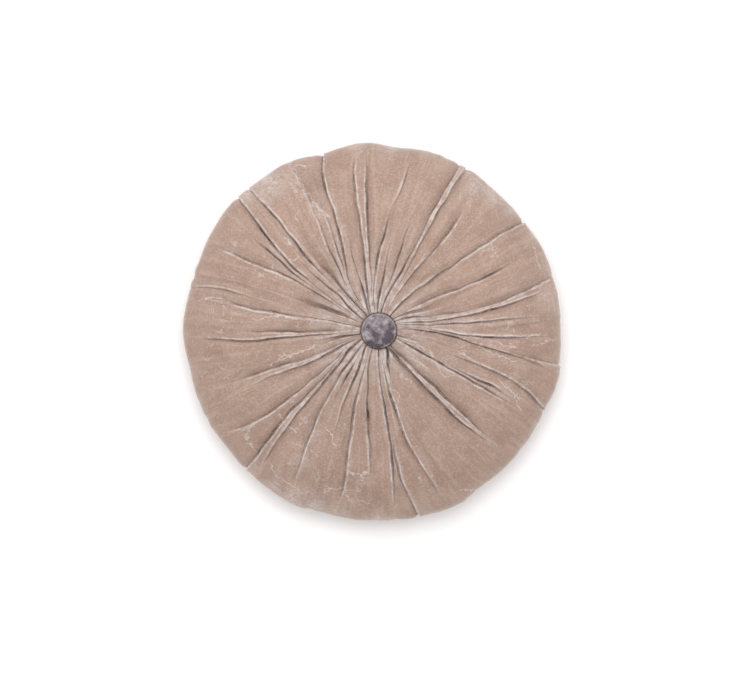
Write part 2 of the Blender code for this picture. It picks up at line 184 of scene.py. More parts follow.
# %% The table of creases
SHARES = (0.10, 0.18, 0.27, 0.38, 0.50, 0.64, 0.80, 1.00)
CREASES = (
    # name, kind, (lap in, lap out), angles at SHARES, depths at SHARES
    ("east_low", "sharp", (0, 1), (6, 3, -0.5, -3.6, -7.3, -9.4, -10.9, -13.5),
     (0.5, 1.5, 4.5, 4.5, 3.5, 3, 2.5, 0)),
    ("east_low_end", "sharp", (0, -1), (7.0, 3.8, 0.2, -3.0, -6.7, -8.8, -10.3, -10.7),
     (0, 0, 0, 0, 0, 0, 2, 2)),
    ("east_short", "sharp", (1, 1), (9.6, 6.0, 2.0, -1.4, -3.1, -3.0, -2.4, -1.6),
     (1, 1, 2, 3.5, 3.5, 3.5, 2, 0)),
    ("east_rim", "soft", (0, 0), (12, 9, 4, 1.5, 0.6, 0.8, 2.2, 3.5),
     (0, 0, 0, 0, 0, 1, 1.5, 0.5)),
    ("east_beads", "sharp", (0, 1), (17, 11, 6.2, 5.4, 5, 5, 4.9, 5.1),
     (1.5, 1.5, 2, 2.5, 3, 2.5, 1, 0)),
    ("east_ribbon_low", "sharp", (1, 1), (22, 15, 10.3, 9.6, 10, 10.9, 12.2, 14.5),
     (1, 1.5, 3, 3, 3, 3, 3, 0)),
    ("east_ribbon_high", "sharp", (-1, -1), (29, 22.5, 15.8, 13.5, 12.7, 13.2, 15, 17.5),
     (2.5, 3, 1.5, 2, 1.5, 2.5, 3, 1.2)),
    ("northeast_trough", "soft", (0, 0), (40, 31.5, 25.2, 24.2, 23.6, 23.5, 23.5, 23.5),
     (2, 2.8, 2.6, 1.6, 0.8, 0, 0, 0)),
    ("northeast_low", "sharp", (-1, 0), (45, 36, 32.3, 30.2, 27.4, 26.6, 26.8, 27.2),
     (0, 0, 2.6, 2.4, 2.8, 3.8, 0.6, 0)),
    ("northeast", "sharp", (1, -1), (53.5, 51.8, 48.3, 44.5, 42, 40.3, 38.8, 36.8),
     (5, 4.5, 4.5, 4, 3.5, 3.5, 3.6, 3.2)),
    ("northeast_end", "sharp", (1, -1), (68, 64.5, 61.3, 58.4, 56, 54.6, 54.8, 55.5),
     (0.5, 1, 3, 3.5, 3.5, 4, 0.4, 0)),
    ("ridge_right", "sharp", (0, 1), (75, 71, 66, 64.7, 64.4, 63.9, 62.9, 61.9),
     (0, 0, 1, 1.5, 2.5, 4.5, 4, 2.4)),
    ("ridge_left", "sharp", (0, -1), (82.5, 77.5, 71.4, 67.9, 66.2, 65.8, 64.9, 63.7),
     (4, 4, 3.5, 2.5, 2.5, 3, 3.8, 2.4)),
    ("north_slit", "sharp", (0, 0), (86, 82, 76.8, 75.2, 74.6, 73.8, 73, 72.5),
     (0, 0, 2, 3.2, 2, 0.5, 0, 0)),
    ("north_trough", "sharp", (0, 0), (94, 89.2, 85.3, 84, 82, 79.5, 78, 77),
     (2, 4, 4, 2, 0.8, 0, 0, 0)),
    ("north_bent", "sharp", (-1, 1), (101, 98.2, 94.4, 90.6, 87, 83.8, 80.4, 79),
     (0.5, 3, 2, 4.2, 3.6, 0.3, 3, 0)),
    ("north_right", "sharp", (1, 1), (106, 101.5, 98.2, 97.3, 96.4, 95.7, 94.6, 93.5),
     (0.5, 1, 1, 2, 4, 4, 3, 0)),
    ("north_left", "sharp", (-1, -1), (113, 107.5, 103.4, 101, 100, 100, 99.2, 97),
     (3.5, 3.5, 3.5, 3.5, 3, 3, 3.5, 0)),
    ("north_fade", "sharp", (0, 0), (119, 112, 110.2, 110, 108, 107, 106, 104.5),
     (3, 4.5, 4, 2.5, 1.2, 0.3, 0, 0)),
    ("northwest_far", "sharp", (0, -1), (123, 124, 122.5, 116.4, 112.9, 110.9, 110.5, 107.6),
     (0.5, 1, 2.5, 4.5, 4, 4, 4, 3)),
    ("northwest_fine", "sharp", (1, 1), (124.5, 125.8, 124.2, 119.2, 116.4, 114.8, 114.3, 113),
     (0, 0, 0, 2, 2.5, 1.5, 0, 0)),
    ("northwest_mid", "sharp", (0, 1), (126, 127.6, 126, 122.9, 120.8, 118.5, 118, 117.8),
     (0, 0, 1.5, 4.6, 3.4, 2, 1.2, 1.0)),
    ("dark_trough", "soft", (0, 0), (128, 130.5, 132, 130.6, 130.4, 129.3, 128, 127),
     (4, 5.5, 6.5, 5, 3, 1, 0, 0)),
    ("northwest", "sharp", (1, -1), (137, 135.3, 134.6, 135.2, 134.8, 133, 132.3, 132.4),
     (0, 0.5, 1, 2, 3.5, 4, 3.2, 2.2)),
    ("northwest_slit", "sharp", (0, 0), (145, 142, 137.8, 139.6, 138.6, 137, 135.4, 134.5),
     (5, 3, 2.5, 4, 1, 0, 0, 0)),
    ("west_top", "sharp", (0, -1), (149, 147, 146, 144.8, 144, 141.4, 138.7, 136.3),
     (0.5, 1, 2, 2, 4, 3.5, 4, 3.4)),
    ("west_short", "sharp", (0, 0), (151, 148.4, 147.2, 146.6, 146.2, 144.5, 143.3, 142),
     (0, 0, 0, 1, 3, 3.5, 1, 0)),
    ("west_high", "sharp", (0, 1), (153, 150.6, 149.3, 148.6, 149, 151, 152, 152.6),
     (0, 0.5, 1.5, 3.2, 3.2, 3, 3.2, 0)),
    ("west_trough", "soft", (0, 0), (155, 155.2, 157.8, 158.6, 158.8, 159.2, 160, 160.6),
     (0.5, 3, 6, 3.5, 0.5, 0, 0, 0)),
    ("west_rim_soft", "soft", (0, 0), (162.5, 162, 161.4, 161, 161, 161.4, 162.1, 163.4),
     (0, 0, 0, 0, 0.5, 0.8, 1.5, 0.8)),
    ("west_rim", "sharp", (0, -1), (165.5, 165.6, 165.8, 166, 165.9, 165.5, 165, 167),
     (0, 0, 0, 0, 0, 0.5, 2.2, 1.5)),
    ("west_mid", "sharp", (1, 1), (168, 168.3, 168.9, 169.8, 170, 170.3, 169.1, 168.7),
     (3, 2.5, 1.5, 2, 3, 3.5, 2, 0)),
    ("west_dark", "sharp", (1, 0), (177.5, 179.5, 180.8, 181.1, 180.5, 180.4, 180, 178.5),
     (0.5, 0.5, 3.5, 4, 3.5, 1.5, 0, 0)),
    ("west_low", "sharp", (-1, -1), (182, 183.3, 183.6, 183.8, 184.1, 184.6, 183.2, 181.6),
     (0, 0, 2, 3, 3.5, 3.5, 3, 0)),
    ("west_fade", "soft", (0, 0), (190.5, 188.4, 189, 189, 189, 190, 190.5, 190.5),
     (3.5, 4, 1.5, 0.5, 0.5, 0, 0, 0)),
    ("southwest_top", "sharp", (1, 1), (197, 198.8, 200.8, 201.6, 199.7, 199.5, 199.2, 199),
     (0, 0.6, 1.5, 2.5, 3.5, 3.5, 0.8, 0)),
    ("southwest_dark", "sharp", (-1, -1), (199, 200.8, 203.6, 204.6, 203.4, 203.1, 203.4, 204),
     (1, 4, 5, 3.5, 3.5, 1.5, 0, 0)),
    ("southwest_mid", "sharp", (0, 1), (202, 207, 213.8, 215.8, 217, 217.2, 216, 212.4),
     (0, 0.5, 2, 3, 3, 3, 3, 0)),
    ("southwest_low", "sharp", (1, 1), (203.5, 209.8, 217.9, 220.6, 222.2, 222.9, 224.8, 226.2),
     (0, 0, 1, 2.5, 3.5, 4, 4, 3)),
    ("southwest", "sharp", (-1, -1), (205, 212, 219.7, 222.6, 224.5, 226, 227.7, 230.5),
     (4, 6, 4, 4, 3.5, 3.5, 3, 0)),
    ("southwest_chalk", "sharp", (1, 1), (220, 226.5, 228.5, 231.4, 233.9, 236.9, 239.4, 242.5),
     (1.5, 3, 3, 2.6, 2.5, 3, 2, 0)),
    ("south_slit", "sharp", (0, 0), (224.5, 232, 234.8, 236.8, 238.7, 240.7, 243, 245.5),
     (0, 0.5, 4, 1, 0, 0, 0, 0)),
    ("south_thick", "sharp", (-1, 0), (228.5, 239, 242.4, 244, 246, 247.5, 249, 250),
     (5.5, 6, 5, 3, 1, 0.3, 0, 0)),
    ("south_left", "sharp", (1, 1), (244, 248.8, 250.8, 252, 254, 255.6, 257, 256),
     (0, 0.5, 2.5, 3, 3.5, 3, 2.5, 0)),
    ("south_dark", "sharp", (0, -1), (250, 253.4, 258.2, 261, 263.8, 266, 267, 267.5),
     (1.5, 4.5, 3, 4, 4, 3, 0, 0)),
    ("south", "sharp", (-1, -1), (269, 270.4, 272, 274.2, 275.5, 275.9, 275.5, 275),
     (5, 2.5, 3, 4, 4, 4, 3, 0)),
    ("south_branch", "sharp", (0, 1), (271.4, 273.2, 274, 275.9, 276.9, 277.3, 278.9, 282.4),
     (0, 0, 0, 0, 0, 2, 3.5, 3)),
    ("south_right", "sharp", (1, 1), (276, 278, 279.2, 281.3, 282.6, 285.3, 288.7, 291.5),
     (0, 0.5, 2.5, 4.5, 3, 3.5, 3, 0)),
    ("button_slit", "sharp", (0, 0), (297, 284.5, 283.5, 286.3, 289, 292, 295, 298),
     (6.5, 5, 0, 0, 0, 0, 0, 0)),
    ("ribbon_left", "sharp", (1, 1), (302, 306.2, 308.4, 309.9, 310.9, 311.9, 314.2, 316.2),
     (6, 6, 4, 5, 5, 4, 1, 0)),
    ("ribbon_right", "sharp", (-1, -1), (305.5, 310.8, 312.8, 314.2, 314.7, 315, 315.6, 317.5),
     (3, 6, 2.5, 5, 4.5, 3.5, 1.2, 0)),
    ("southeast", "sharp", (-1, -1), (337, 334, 332.3, 331.6, 331.4, 331.3, 330.8, 329.5),
     (1, 4.5, 5, 5, 4.6, 3.5, 0.5, 0)),
    ("southeast_hollow", "sharp", (1, 1), (341, 339, 336.5, 334.2, 333.4, 334.1, 332.9, 332),
     (0, 0, 0, 0, 1.5, 4.5, 0.6, 0)),
    ("southeast_low", "sharp", (0, 1), (346, 344.5, 342.8, 341.8, 341.1, 340.4, 338.6, 334.5),
     (2, 1, 0, 0.5, 2.5, 3.5, 3.5, 3)),
)
_, crease_kinds, crease_laps, crease_angles, crease_depths = zip(*CREASES)
COUNT = len(CREASES)
SOFT = np.array([kind == "soft" for kind in crease_kinds])
LAPS = np.array(crease_laps, float)
angle_curve = Curve(SHARES, crease_angles)
depth_curve = Curve(SHARES, crease_depths)
OVER_EDGE = np.array([depths[-1] > 0 for depths in crease_depths])
# A crease that doesn't go over the edge ends between these shares of the way.
INNER_END = (0.83, 0.96)


def depths_at(share):
    """Every crease's depth on the face, at a share of the way to the edge."""
    return depth_curve.at(share) * np.where(OVER_EDGE, 1.0, 1 - step_over(share, *INNER_END))


print(COUNT, "creases,", int(SOFT.sum()), "of them soft")

# %% [markdown]
# How a crease looks across
#
# Cut a tuck across and it isn't a plain V. On one side the cloth stands up as a narrow roll
# that leans over the line a little; on the other it slopes gently down and slips under. The
# sizes below say how wide the two sides are, how far the roll lifts and leans, and how much
# the cloth puffs up between two creases. Near the button there is less room, and the widths
# shrink to fit.

# %% Sizes across a crease
ROLL_WIDTH = 3.9
SLOPE_WIDTH = 9.5
SLOPE_POWER = 2.6
TROUGH_WIDTH = 11.0
# A trough is narrower near the button: the shares of the way, and the shares of its width
TROUGH_NARROWS = ((0.15, 0.60), (0.48, 1.0))
ROLL_LIFT = 0.30
ROLL_LEAN = 0.38
# Above 1 this moves the top of the roll away from the crease's line.
LIFT_SKEW = 1.5
# The widths of two sides take at most this share of the room between their creases.
SIDES_SHARE = 0.94
LAP_TURNS = (0.30, 0.70)
# Beside a crease the cloth is drawn down over a wider stretch too, by this share of its depth.
HOLLOW = 0.19
HOLLOW_REACH = (3.0, 21.0)
HOLLOW_SPREAD = 0.17
HOLLOW_BEGINS = (0.08, 0.20)
HOLLOW_ENDS = (1.05, 1.24)

# %% [markdown]
# How a crease changes along its way
#
# No real tuck is ruler-straight or evenly deep. Each strays a little to the sides, and its
# depth and the width of its roll change, all by a smooth noise with a seed of its own. On the
# back the folds from the edge are pressed shallow and fade, and the cloth gathers again.

# %% Sizes along a crease
STRAY, STRAY_LENGTH = 0.65, 16.0
DEPTH_VARIES, DEPTH_LENGTH = 0.22, 32.0
ROLL_VARIES, ROLL_LENGTH = 0.30, 22.4
SEED_STRAY, SEED_DEPTH, SEED_SWELL, SEED_ROLL = 3.1, 17.7, 29.3, 41.9
# How far apart two creases lie in the noise, and what brings the noise to between -1 and 1
NOISE_APART = 7.31
NOISE_FULL = 1.6
# Nearer to the button than this many millimetres, straying doesn't turn a crease any further.
STRAY_NEAREST = 20
STRAY_BEGINS = (0.12, 0.35)
CREASES_BEGIN = (0.065, 0.10)
BACK_PRESSED = 0.4
BACK_PRESSED_BY = (1.26, 1.50)
BACK_FADES = (1.60, 1.96)
BACK_GATHER = 3.2
BACK_GATHER_BEGINS = (1.66, 1.90)


def wander(distance, seed, length):
    """A smooth value between -1 and 1 for every crease, at a distance along it."""
    places = [Vector((distance / length, row * NOISE_APART, seed)) for row in range(COUNT)]
    return np.array([noise.noise(place) * NOISE_FULL for place in places])


def crease_state(path, share):
    """The angle, depth and roll width of every crease at a place on the section's path."""
    out = share * MEAN_EDGE
    distance = out if path <= 1 else 2 * MEAN_EDGE - out
    stray = STRAY * step_over(share, *STRAY_BEGINS) * wander(distance, SEED_STRAY, STRAY_LENGTH)
    angles = angle_curve.at(share if path <= 1 else 1.0) + np.degrees(stray / max(out, STRAY_NEAREST))
    if path <= 1:
        depths = depths_at(share) * step_over(share, *CREASES_BEGIN)
    else:
        pressed = 1 - (1 - BACK_PRESSED) * step_over(path, *BACK_PRESSED_BY)
        from_edge = depth_curve.at(1.0) * pressed * (1 - step_over(path, *BACK_FADES))
        depths = np.maximum(from_edge, BACK_GATHER * step_over(path, *BACK_GATHER_BEGINS))
    depths = depths * (1 + DEPTH_VARIES * wander(distance, SEED_DEPTH, DEPTH_LENGTH))
    return angles, depths, ROLL_WIDTH * (1 + ROLL_VARIES * wander(distance, SEED_ROLL, ROLL_LENGTH))


print("straying up to", STRAY, "mm to a side")

# %% [markdown]
# The grid of the cloth
#
# The cover is a grid: rings from the middle of the face over the edge to the middle of the
# back, and columns that follow the creases. A plain even grid would cut across the creases and
# show them as saw teeth. Here a column lies in every crease, more stand close beside it, and
# the rest are spread over the lobe between.

# %% Rings and columns
# (from, to, how many rings)
RING_STRETCHES = (
    (0.050, 0.20, 24), (0.20, 0.62, 32), (0.62, 1.00, 28), (1.00, 1.34, 16), (1.34, 1.95, 14),
)
SIDE_STEPS = 6
LOBE_STEP = 4.2
CROWN_SHARE = 0.64


def ring_places():
    """The rings' places on the section's path."""
    places = []
    for start, end, count in RING_STRETCHES:
        places += [start + (end - start) * k / count for k in range(count)]
    return places + [RING_STRETCHES[-1][1]]


def column_places():
    """Rows of (crease before, side: 0 leaving it, 1 between, 2 reaching the next, place there)."""
    crown = angle_curve.at(CROWN_SHARE)
    apart = np.append(crown[1:], crown[0] + 360) - crown
    rows = []
    for i in range(COUNT):
        rows.append((i, 0, 0.0))
        rows += [(i, 0, k / SIDE_STEPS) for k in range(1, SIDE_STEPS + 1)]
        width = math.radians(apart[i]) * CROWN_SHARE * MEAN_EDGE
        between = max(0, round((width - SLOPE_WIDTH) / LOBE_STEP) - 1)
        rows += [(i, 1, (k + 1) / (between + 1)) for k in range(between)]
        rows += [(i, 2, k / SIDE_STEPS) for k in range(SIDE_STEPS, 0, -1)]
    return np.array(rows)


RINGS = ring_places()
COLUMNS = column_places()
BEFORE = COLUMNS[:, 0].astype(int)
AFTER = (BEFORE + 1) % COUNT
SIDE = COLUMNS[:, 1].astype(int)
PLACE = COLUMNS[:, 2]
print(len(RINGS), "rings of", len(COLUMNS), "columns:", 2 * len(RINGS) * len(COLUMNS), "triangles")

# %% [markdown]
# Painted shade in a tuck, painted highlight on a roll
#
# Light doesn't get into a tuck, so a tuck is painted dark as shade. A roll catches the light
# and its pile splays, so it is painted pale as a highlight. Both follow the crease's line far
# more sharply than any mesh could show by its shape. So the same function that knows how far a
# point lies from the line also says how dark and how pale the cloth is painted there.

# %% Paint beside a crease
# How far the painted shade of a tuck, the painted shade (haze) of a trough and the painted highlight of a
# roll reach
TUCK_LINE = 0.50
TROUGH_HAZE = 1.5
CREST_AWAY, CREST_LINE = 1.6, 0.80
# Each begins at a depth, grows over so many millimetres more, and stays below a limit.
TUCK_FROM, TUCK_GROWS, TUCK_LIMIT = 0.8, 3.5, 1.2
HAZE_FROM, HAZE_GROWS, HAZE_LIMIT = 0.5, 5.0, 0.80
CREST_GROWS, CREST_STANDS = 3.2, 0.6
# The dark line is wider where a crease is deeper than a slit's depth, by this share per mm.
SLIT_DEPTH, SLIT_WIDENS, SLIT_LIMIT = 4.2, 0.45, 2.5
# A roll leans over the slope beside it and shades it for this share of the crease's depth.
ROLL_SHADES = 0.13


def paint_side(away, depth, roll, soft):
    """How dark the tuck's painted shade and how pale the roll's painted highlight is, at a distance from a
    crease's line.
    """
    shaded = np.maximum(away - ROLL_SHADES * depth * (1 - roll), 0)
    width = TUCK_LINE * (1 + SLIT_WIDENS * np.clip(depth - SLIT_DEPTH, 0, SLIT_LIMIT))
    tuck = np.clip((depth - TUCK_FROM) / TUCK_GROWS, 0, TUCK_LIMIT)
    line = tuck * np.exp(-((shaded / width) ** 2))
    trough = np.clip((depth - HAZE_FROM) / HAZE_GROWS, 0, 1) * HAZE_LIMIT
    haze = trough * np.exp(-((away / TROUGH_HAZE) ** 2))
    stands = np.clip(2 * roll - CREST_STANDS, 0, 1)
    crest = np.clip(depth / CREST_GROWS, 0, 1) * np.exp(-(((away - CREST_AWAY) / CREST_LINE) ** 2))
    return np.where(soft, haze, line), np.where(soft, 0.0, stands * crest)


# %% [markdown]
# From the tables to points
#
# For one ring, the function below works out every column at once. It finds the room between
# each pair of creases, shares it out between their sides, and adds up how far the cloth dips
# or lifts there. The offset is along the cloth's own normal, so a crease is as deep on the
# edge, where the cloth stands upright, as it is on the crown.

# %% One ring of the cover
SLOPE_REACH = 0.004


def side_shapes(x, width, depth, roll, soft):
    """How far the cloth moves along its normal and sideways, at place x of a crease's side."""
    quarter = x * math.pi / 2
    reach = np.where(soft, x, 1 - np.cos(quarter)) * width
    slope = (1 - reach / width) ** SLOPE_POWER
    tuck = 1 - np.sin(quarter)
    trough = 0.5 + 0.5 * np.cos(math.pi * x)
    drop = np.where(soft, trough, (1 - roll) * slope + roll * tuck)
    stands = np.clip(2 * roll - 1, 0, 1) * ~soft
    lift = stands * ROLL_LIFT * depth * np.sin(math.pi * x**LIFT_SKEW) ** 2
    lean = stands * ROLL_LEAN * depth * np.sin(math.pi * x) * (1 - x)
    return reach - lean, lift - depth * drop


def section_frame(path, edge):
    """The section's height at a place, and the outward normal as (out, up)."""
    near = section_curve.at(max(path - SLOPE_REACH, 0))
    far = section_curve.at(min(path + SLOPE_REACH, 2))
    along_out, along_up = (far[0] - near[0]) * edge, np.full_like(edge, far[1] - near[1])
    length = np.hypot(along_out, along_up)
    return section_curve.at(path)[1], -along_up / length, along_out / length


def hollows_at(path, share, turn, out, angles, depths):
    """How far the cloth is drawn down by all creases near each point."""
    reach = np.clip(HOLLOW_SPREAD * out, *HOLLOW_REACH)
    away = (turn[:, None] - angles[None, :] + 180) % 360 - 180
    away = np.abs(np.radians(away)) * out[:, None] / reach[:, None]
    hollows = np.cos(np.clip(away, 0, 1) * math.pi / 2) ** 2
    drawn = HOLLOW * (hollows * depths[None, :]).sum(axis=1)
    return drawn * (1 - step_over(path, *HOLLOW_ENDS)) * step_over(share, *HOLLOW_BEGINS)


def cover_ring(path):
    """The points of one ring, in millimetres about the button's axis, and their paint."""
    share = float(section_curve.at(path)[0])
    angles, depths, rolls = crease_state(path, share)
    lap = LAPS[:, 0] + (LAPS[:, 1] - LAPS[:, 0]) * step_over(share if path < 1 else 1.0, *LAP_TURNS)
    apart = np.append(angles[1:], angles[0] + 360) - angles
    room = (np.radians(apart) * share * edge_distance(angles + apart / 2))[BEFORE]
    trough = TROUGH_WIDTH * np.interp(share, *TROUGH_NARROWS)
    sides = []
    for crease, roll in ((BEFORE, (1 + lap) / 2), (AFTER, (1 - lap) / 2)):
        width = np.where(SOFT, trough, SLOPE_WIDTH + (rolls - SLOPE_WIDTH) * roll)
        sides.append((width[crease], depths[crease], roll[crease], SOFT[crease]))
    (first, *leaving), (second, *reaching) = sides
    fit = np.minimum(1.0, SIDES_SHARE * room / (first + second))
    first, second = first * fit, second * fit
    leave_x, leave_h = side_shapes(PLACE, first, *leaving)
    reach_x, reach_h = side_shapes(PLACE, second, *reaching)
    where = [SIDE == 0, SIDE == 1]
    across = np.select(where, [leave_x, first + (room - first - second) * PLACE], room - reach_x)
    rise = np.select(where, [leave_h, 0.0], reach_h)
    dark_first, pale_first = paint_side(np.abs(across), *leaving)
    dark_second, pale_second = paint_side(np.abs(room - across), *reaching)
    dark, pale = np.maximum(dark_first, dark_second), np.maximum(pale_first, pale_second)
    turn = angles[BEFORE] + apart[BEFORE] * across / room
    edge = edge_distance(turn)
    rise = rise - hollows_at(path, share, turn, share * edge, angles, depths)
    height, out, up = section_frame(path, edge)
    radius = share * edge + rise * out
    turn = np.radians(turn)
    return np.stack([radius * np.cos(turn), radius * np.sin(turn), height + rise * up, dark, pale], axis=1)


rings = np.array([cover_ring(path) for path in RINGS])
grid, tuck_paint, roll_paint = rings[:, :, :3], rings[:, :, 3], rings[:, :, 4]
print("highest point of the face", round(float(grid[:, :, 2].max()), 1), "mm")

# %% [markdown]
# A skin from rings
#
# The rings are joined into quads here, and one point on the button's axis closes each end.
# Modelling tools can join rings too, but this way each point's place in the grid stays known,
# and the paint further down needs that. Here the millimetres become metres.

# %% A closed mesh from a grid
def to_world(points):
    """From millimetres about the button's axis to the frame's metres."""
    return (points + np.array([*BUTTON_AXIS, 0.0])) * MM


def grid_mesh(name, points, first_height, last_height):
    """A closed mesh from rings of points and a point on the axis at each end."""
    rings, columns = points.shape[:2]
    first, last = [[0.0, 0.0, first_height]], [[0.0, 0.0, last_height]]
    verts = to_world(np.concatenate([first, points.reshape(-1, 3), last]))
    faces = []
    for column in range(columns):
        beside = (column + 1) % columns
        faces.append((0, 1 + column, 1 + beside))
        for ring in range(rings - 1):
            here, there = 1 + ring * columns, 1 + (ring + 1) * columns
            faces.append((here + column, there + column, there + beside, here + beside))
        outer = 1 + (rings - 1) * columns
        faces.append((outer + column, len(verts) - 1, outer + beside))
    mesh = bpy.data.meshes.new(name)
    mesh.from_pydata(verts.tolist(), [], faces)
    mesh.validate()
    mesh.shade_smooth()
    obj = bpy.data.objects.new(name, mesh)
    bpy.context.scene.collection.objects.link(obj)
    return obj


# %% [markdown]
# Letting the filling push
#
# Between two creases the filling pushes the velvet out. More cloth was cut than the cushion's
# face needs, so it also buckles a little where it has room. That is hard to draw and easy to
# simulate. The fine grid would be a poor cloth, since its columns crowd together at the button
# and would be far too stiff there. So a coarse copy is made with an even mesh, held along its
# creases, under the button and on its back, and blown up from inside. The fine grid then
# follows the coarse one, point by point.

# %% Simulate the cover
CLOTH_MESH = 4.5
CLOTH_FRAMES = 20
CLOTH_SETTINGS = {
    "quality": 6, "mass": 0.15, "tension_stiffness": 12, "compression_stiffness": 8,
    "shear_stiffness": 4, "bending_stiffness": 0.05, "use_pressure": True,
    "uniform_pressure_force": 4.0, "shrink_min": -0.04, "vertex_group_mass": "held",
}
# Each point of the fine grid follows so many coarse points, and moves at most so far.
NEIGHBOURS = 6
MOST_MOVE = 6.0
# The outline is known from above, so near the rim the cloth follows by this share only.
RIM_FOLLOWS = 0.30
RIM_BEGINS = (0.76, 0.92)
RIM_PASSED = (1.08, 1.18)
RIM_LEVEL = 44.0
# Where the coarse cloth is held: the depth of a firm crease, and distances in millimetres
HELD_DEPTH = 3.0
HELD_BESIDE = (2.0, 8.0)
HELD_ROUND_BUTTON = (22.0, 40.0)
HELD_ABOVE_BACK = (4.0, 30.0)
FIRST_ROW, ROW_COUNT = 0.1, 91
SHARE_ROWS = np.linspace(FIRST_ROW, 1.0, ROW_COUNT)
ANGLE_ROWS = np.array([angle_curve.at(share) for share in SHARE_ROWS])
DEPTH_ROWS = np.array([depths_at(share) for share in SHARE_ROWS])


def held_at(points):
    """How firmly each point is held: 1 in a crease, by the button and on the back."""
    turn = np.degrees(np.arctan2(points[:, 1], points[:, 0])) % 360
    out = np.hypot(points[:, 0], points[:, 1])
    share = np.where(points[:, 2] > RIM_LEVEL, np.clip(out / edge_distance(turn), FIRST_ROW, 1.0), 1.0)
    row = np.round((share - FIRST_ROW) / (1 - FIRST_ROW) * (ROW_COUNT - 1)).astype(int)
    away = (turn[:, None] - ANGLE_ROWS[row] + 180) % 360 - 180
    away = np.radians(np.abs(away)) * out[:, None]
    in_crease = np.clip(DEPTH_ROWS[row] / HELD_DEPTH, 0, 1) * (1 - step_over(away, *HELD_BESIDE))
    by_button = 1 - step_over(out, *HELD_ROUND_BUTTON)
    on_back = 1 - step_over(points[:, 2], *HELD_ABOVE_BACK)
    return np.maximum(np.maximum(in_crease.max(axis=1), by_button), on_back)


def vertex_places(mesh):
    """The mesh's points in millimetres about the button's axis."""
    places = np.empty(3 * len(mesh.vertices))
    mesh.vertices.foreach_get("co", places)
    return places.reshape(-1, 3) / MM - np.array([*BUTTON_AXIS, 0.0])


def coarse_copy(obj):
    """The object's form as an even mesh."""
    modifier = obj.modifiers.new("even", "REMESH")
    modifier.mode = "VOXEL"
    modifier.voxel_size = CLOTH_MESH * MM
    shape = obj.evaluated_get(bpy.context.evaluated_depsgraph_get())
    mesh = bpy.data.meshes.new_from_object(shape)
    copy = bpy.data.objects.new("coarse", mesh)
    bpy.context.scene.collection.objects.link(copy)
    return copy


def blow_up(obj):
    """Where the filling's pressure pushes each point of the coarse copy."""
    before = vertex_places(obj.data)
    group = obj.vertex_groups.new(name="held")
    for index, weight in enumerate(held_at(before)):
        group.add([index], float(weight), "REPLACE")
    cloth = obj.modifiers.new("cloth", "CLOTH")
    for name, value in CLOTH_SETTINGS.items():
        setattr(cloth.settings, name, value)
    cloth.settings.effector_weights.gravity = 0
    cloth.collision_settings.use_collision = False
    cloth.point_cache.frame_end = CLOTH_FRAMES
    scene = bpy.context.scene
    for number in range(1, CLOTH_FRAMES + 1):
        scene.frame_set(number)
    shape = obj.evaluated_get(bpy.context.evaluated_depsgraph_get())
    after = vertex_places(shape.data)
    scene.frame_set(1)
    return before, after - before


def follow(points, places, moves):
    """The points moved as the nearest coarse places moved, but no further than the cap."""
    length = np.maximum(np.linalg.norm(moves, axis=1, keepdims=True), 1e-6)
    moves = moves * np.minimum(1, MOST_MOVE / length)
    tree = kdtree.KDTree(len(places))
    for index, place in enumerate(places):
        tree.insert(place, index)
    tree.balance()
    shift = np.zeros((points.shape[0] * points.shape[1], 3))
    for row, point in enumerate(points.reshape(-1, 3)):
        near = tree.find_n(point, NEIGHBOURS)
        weights = np.array([math.exp(-((distance / CLOTH_MESH) ** 2)) + 1e-9 for _, _, distance in near])
        shift[row] = weights @ moves[[index for _, index, _ in near]] / weights.sum()
    paths = np.array(RINGS)
    at_rim = step_over(paths, *RIM_BEGINS) * (1 - step_over(paths, *RIM_PASSED))
    follows = 1 - (1 - RIM_FOLLOWS) * at_rim
    return points + shift.reshape(points.shape) * follows[:, None, None]


def simulated(points):
    """The cover's grid after the filling has pushed it out."""
    plain = grid_mesh("plain", points, SEAT_HEIGHT, BACK_DIMPLE)
    coarse = coarse_copy(plain)
    places, moves = blow_up(coarse)
    print(len(places), "points of coarse cloth, moved by up to", round(float(np.abs(moves).max()), 1), "mm")
    for obj in (plain, coarse):
        bpy.data.objects.remove(obj)
    return follow(points, places, moves)


grid = simulated(grid)
print("highest point after the simulation", round(float(grid[:, :, 2].max()), 1), "mm")

# %% [markdown]
# Swells in the filling
#
# Fibre filling is never even. A slow, shallow noise lifts and lowers the cloth between the
# creases by less than a millimetre, which breaks up the too perfect reflections of a computed
# form. The back stays flat, since it is pressed on the surface it lies on.

# %% Uneven filling
SWELL, SWELL_SIZE = 1.1, 34.0
RIPPLE, RIPPLE_SIZE = 0.28, 9.0
SWELL_BEGINS = (0.10, 0.30)
SWELL_ENDS = (1.02, 1.20)


def normals_of(points):
    """Outward normals on the grid, from its neighbours."""
    around = np.roll(points, -1, axis=1) - np.roll(points, 1, axis=1)
    along = np.gradient(points, axis=0)
    normal = np.cross(along, around)
    return normal / np.maximum(np.linalg.norm(normal, axis=2, keepdims=True), 1e-9)


def swell(points):
    """The grid with the filling's unevenness added along its normals."""
    normal = normals_of(points)
    amount = np.zeros(points.shape[:2])
    for ring, path in enumerate(RINGS):
        keep = float(step_over(path, *SWELL_BEGINS) * (1 - step_over(path, *SWELL_ENDS)))
        if keep == 0:
            continue
        for column, point in enumerate(points[ring]):
            place = Vector(point)
            slow = noise.noise(place / SWELL_SIZE + Vector((0, 0, SEED_SWELL)))
            quick = noise.noise(place / RIPPLE_SIZE + Vector((0, 0, SEED_SWELL)))
            amount[ring, column] = keep * (SWELL * slow + RIPPLE * quick)
    return points + normal * amount[:, :, None]


grid = swell(grid)
grid[:, :, 2] = np.maximum(grid[:, :, 2], 0.0)
print("highest point with the swells", round(float(grid[:, :, 2].max()), 1), "mm")
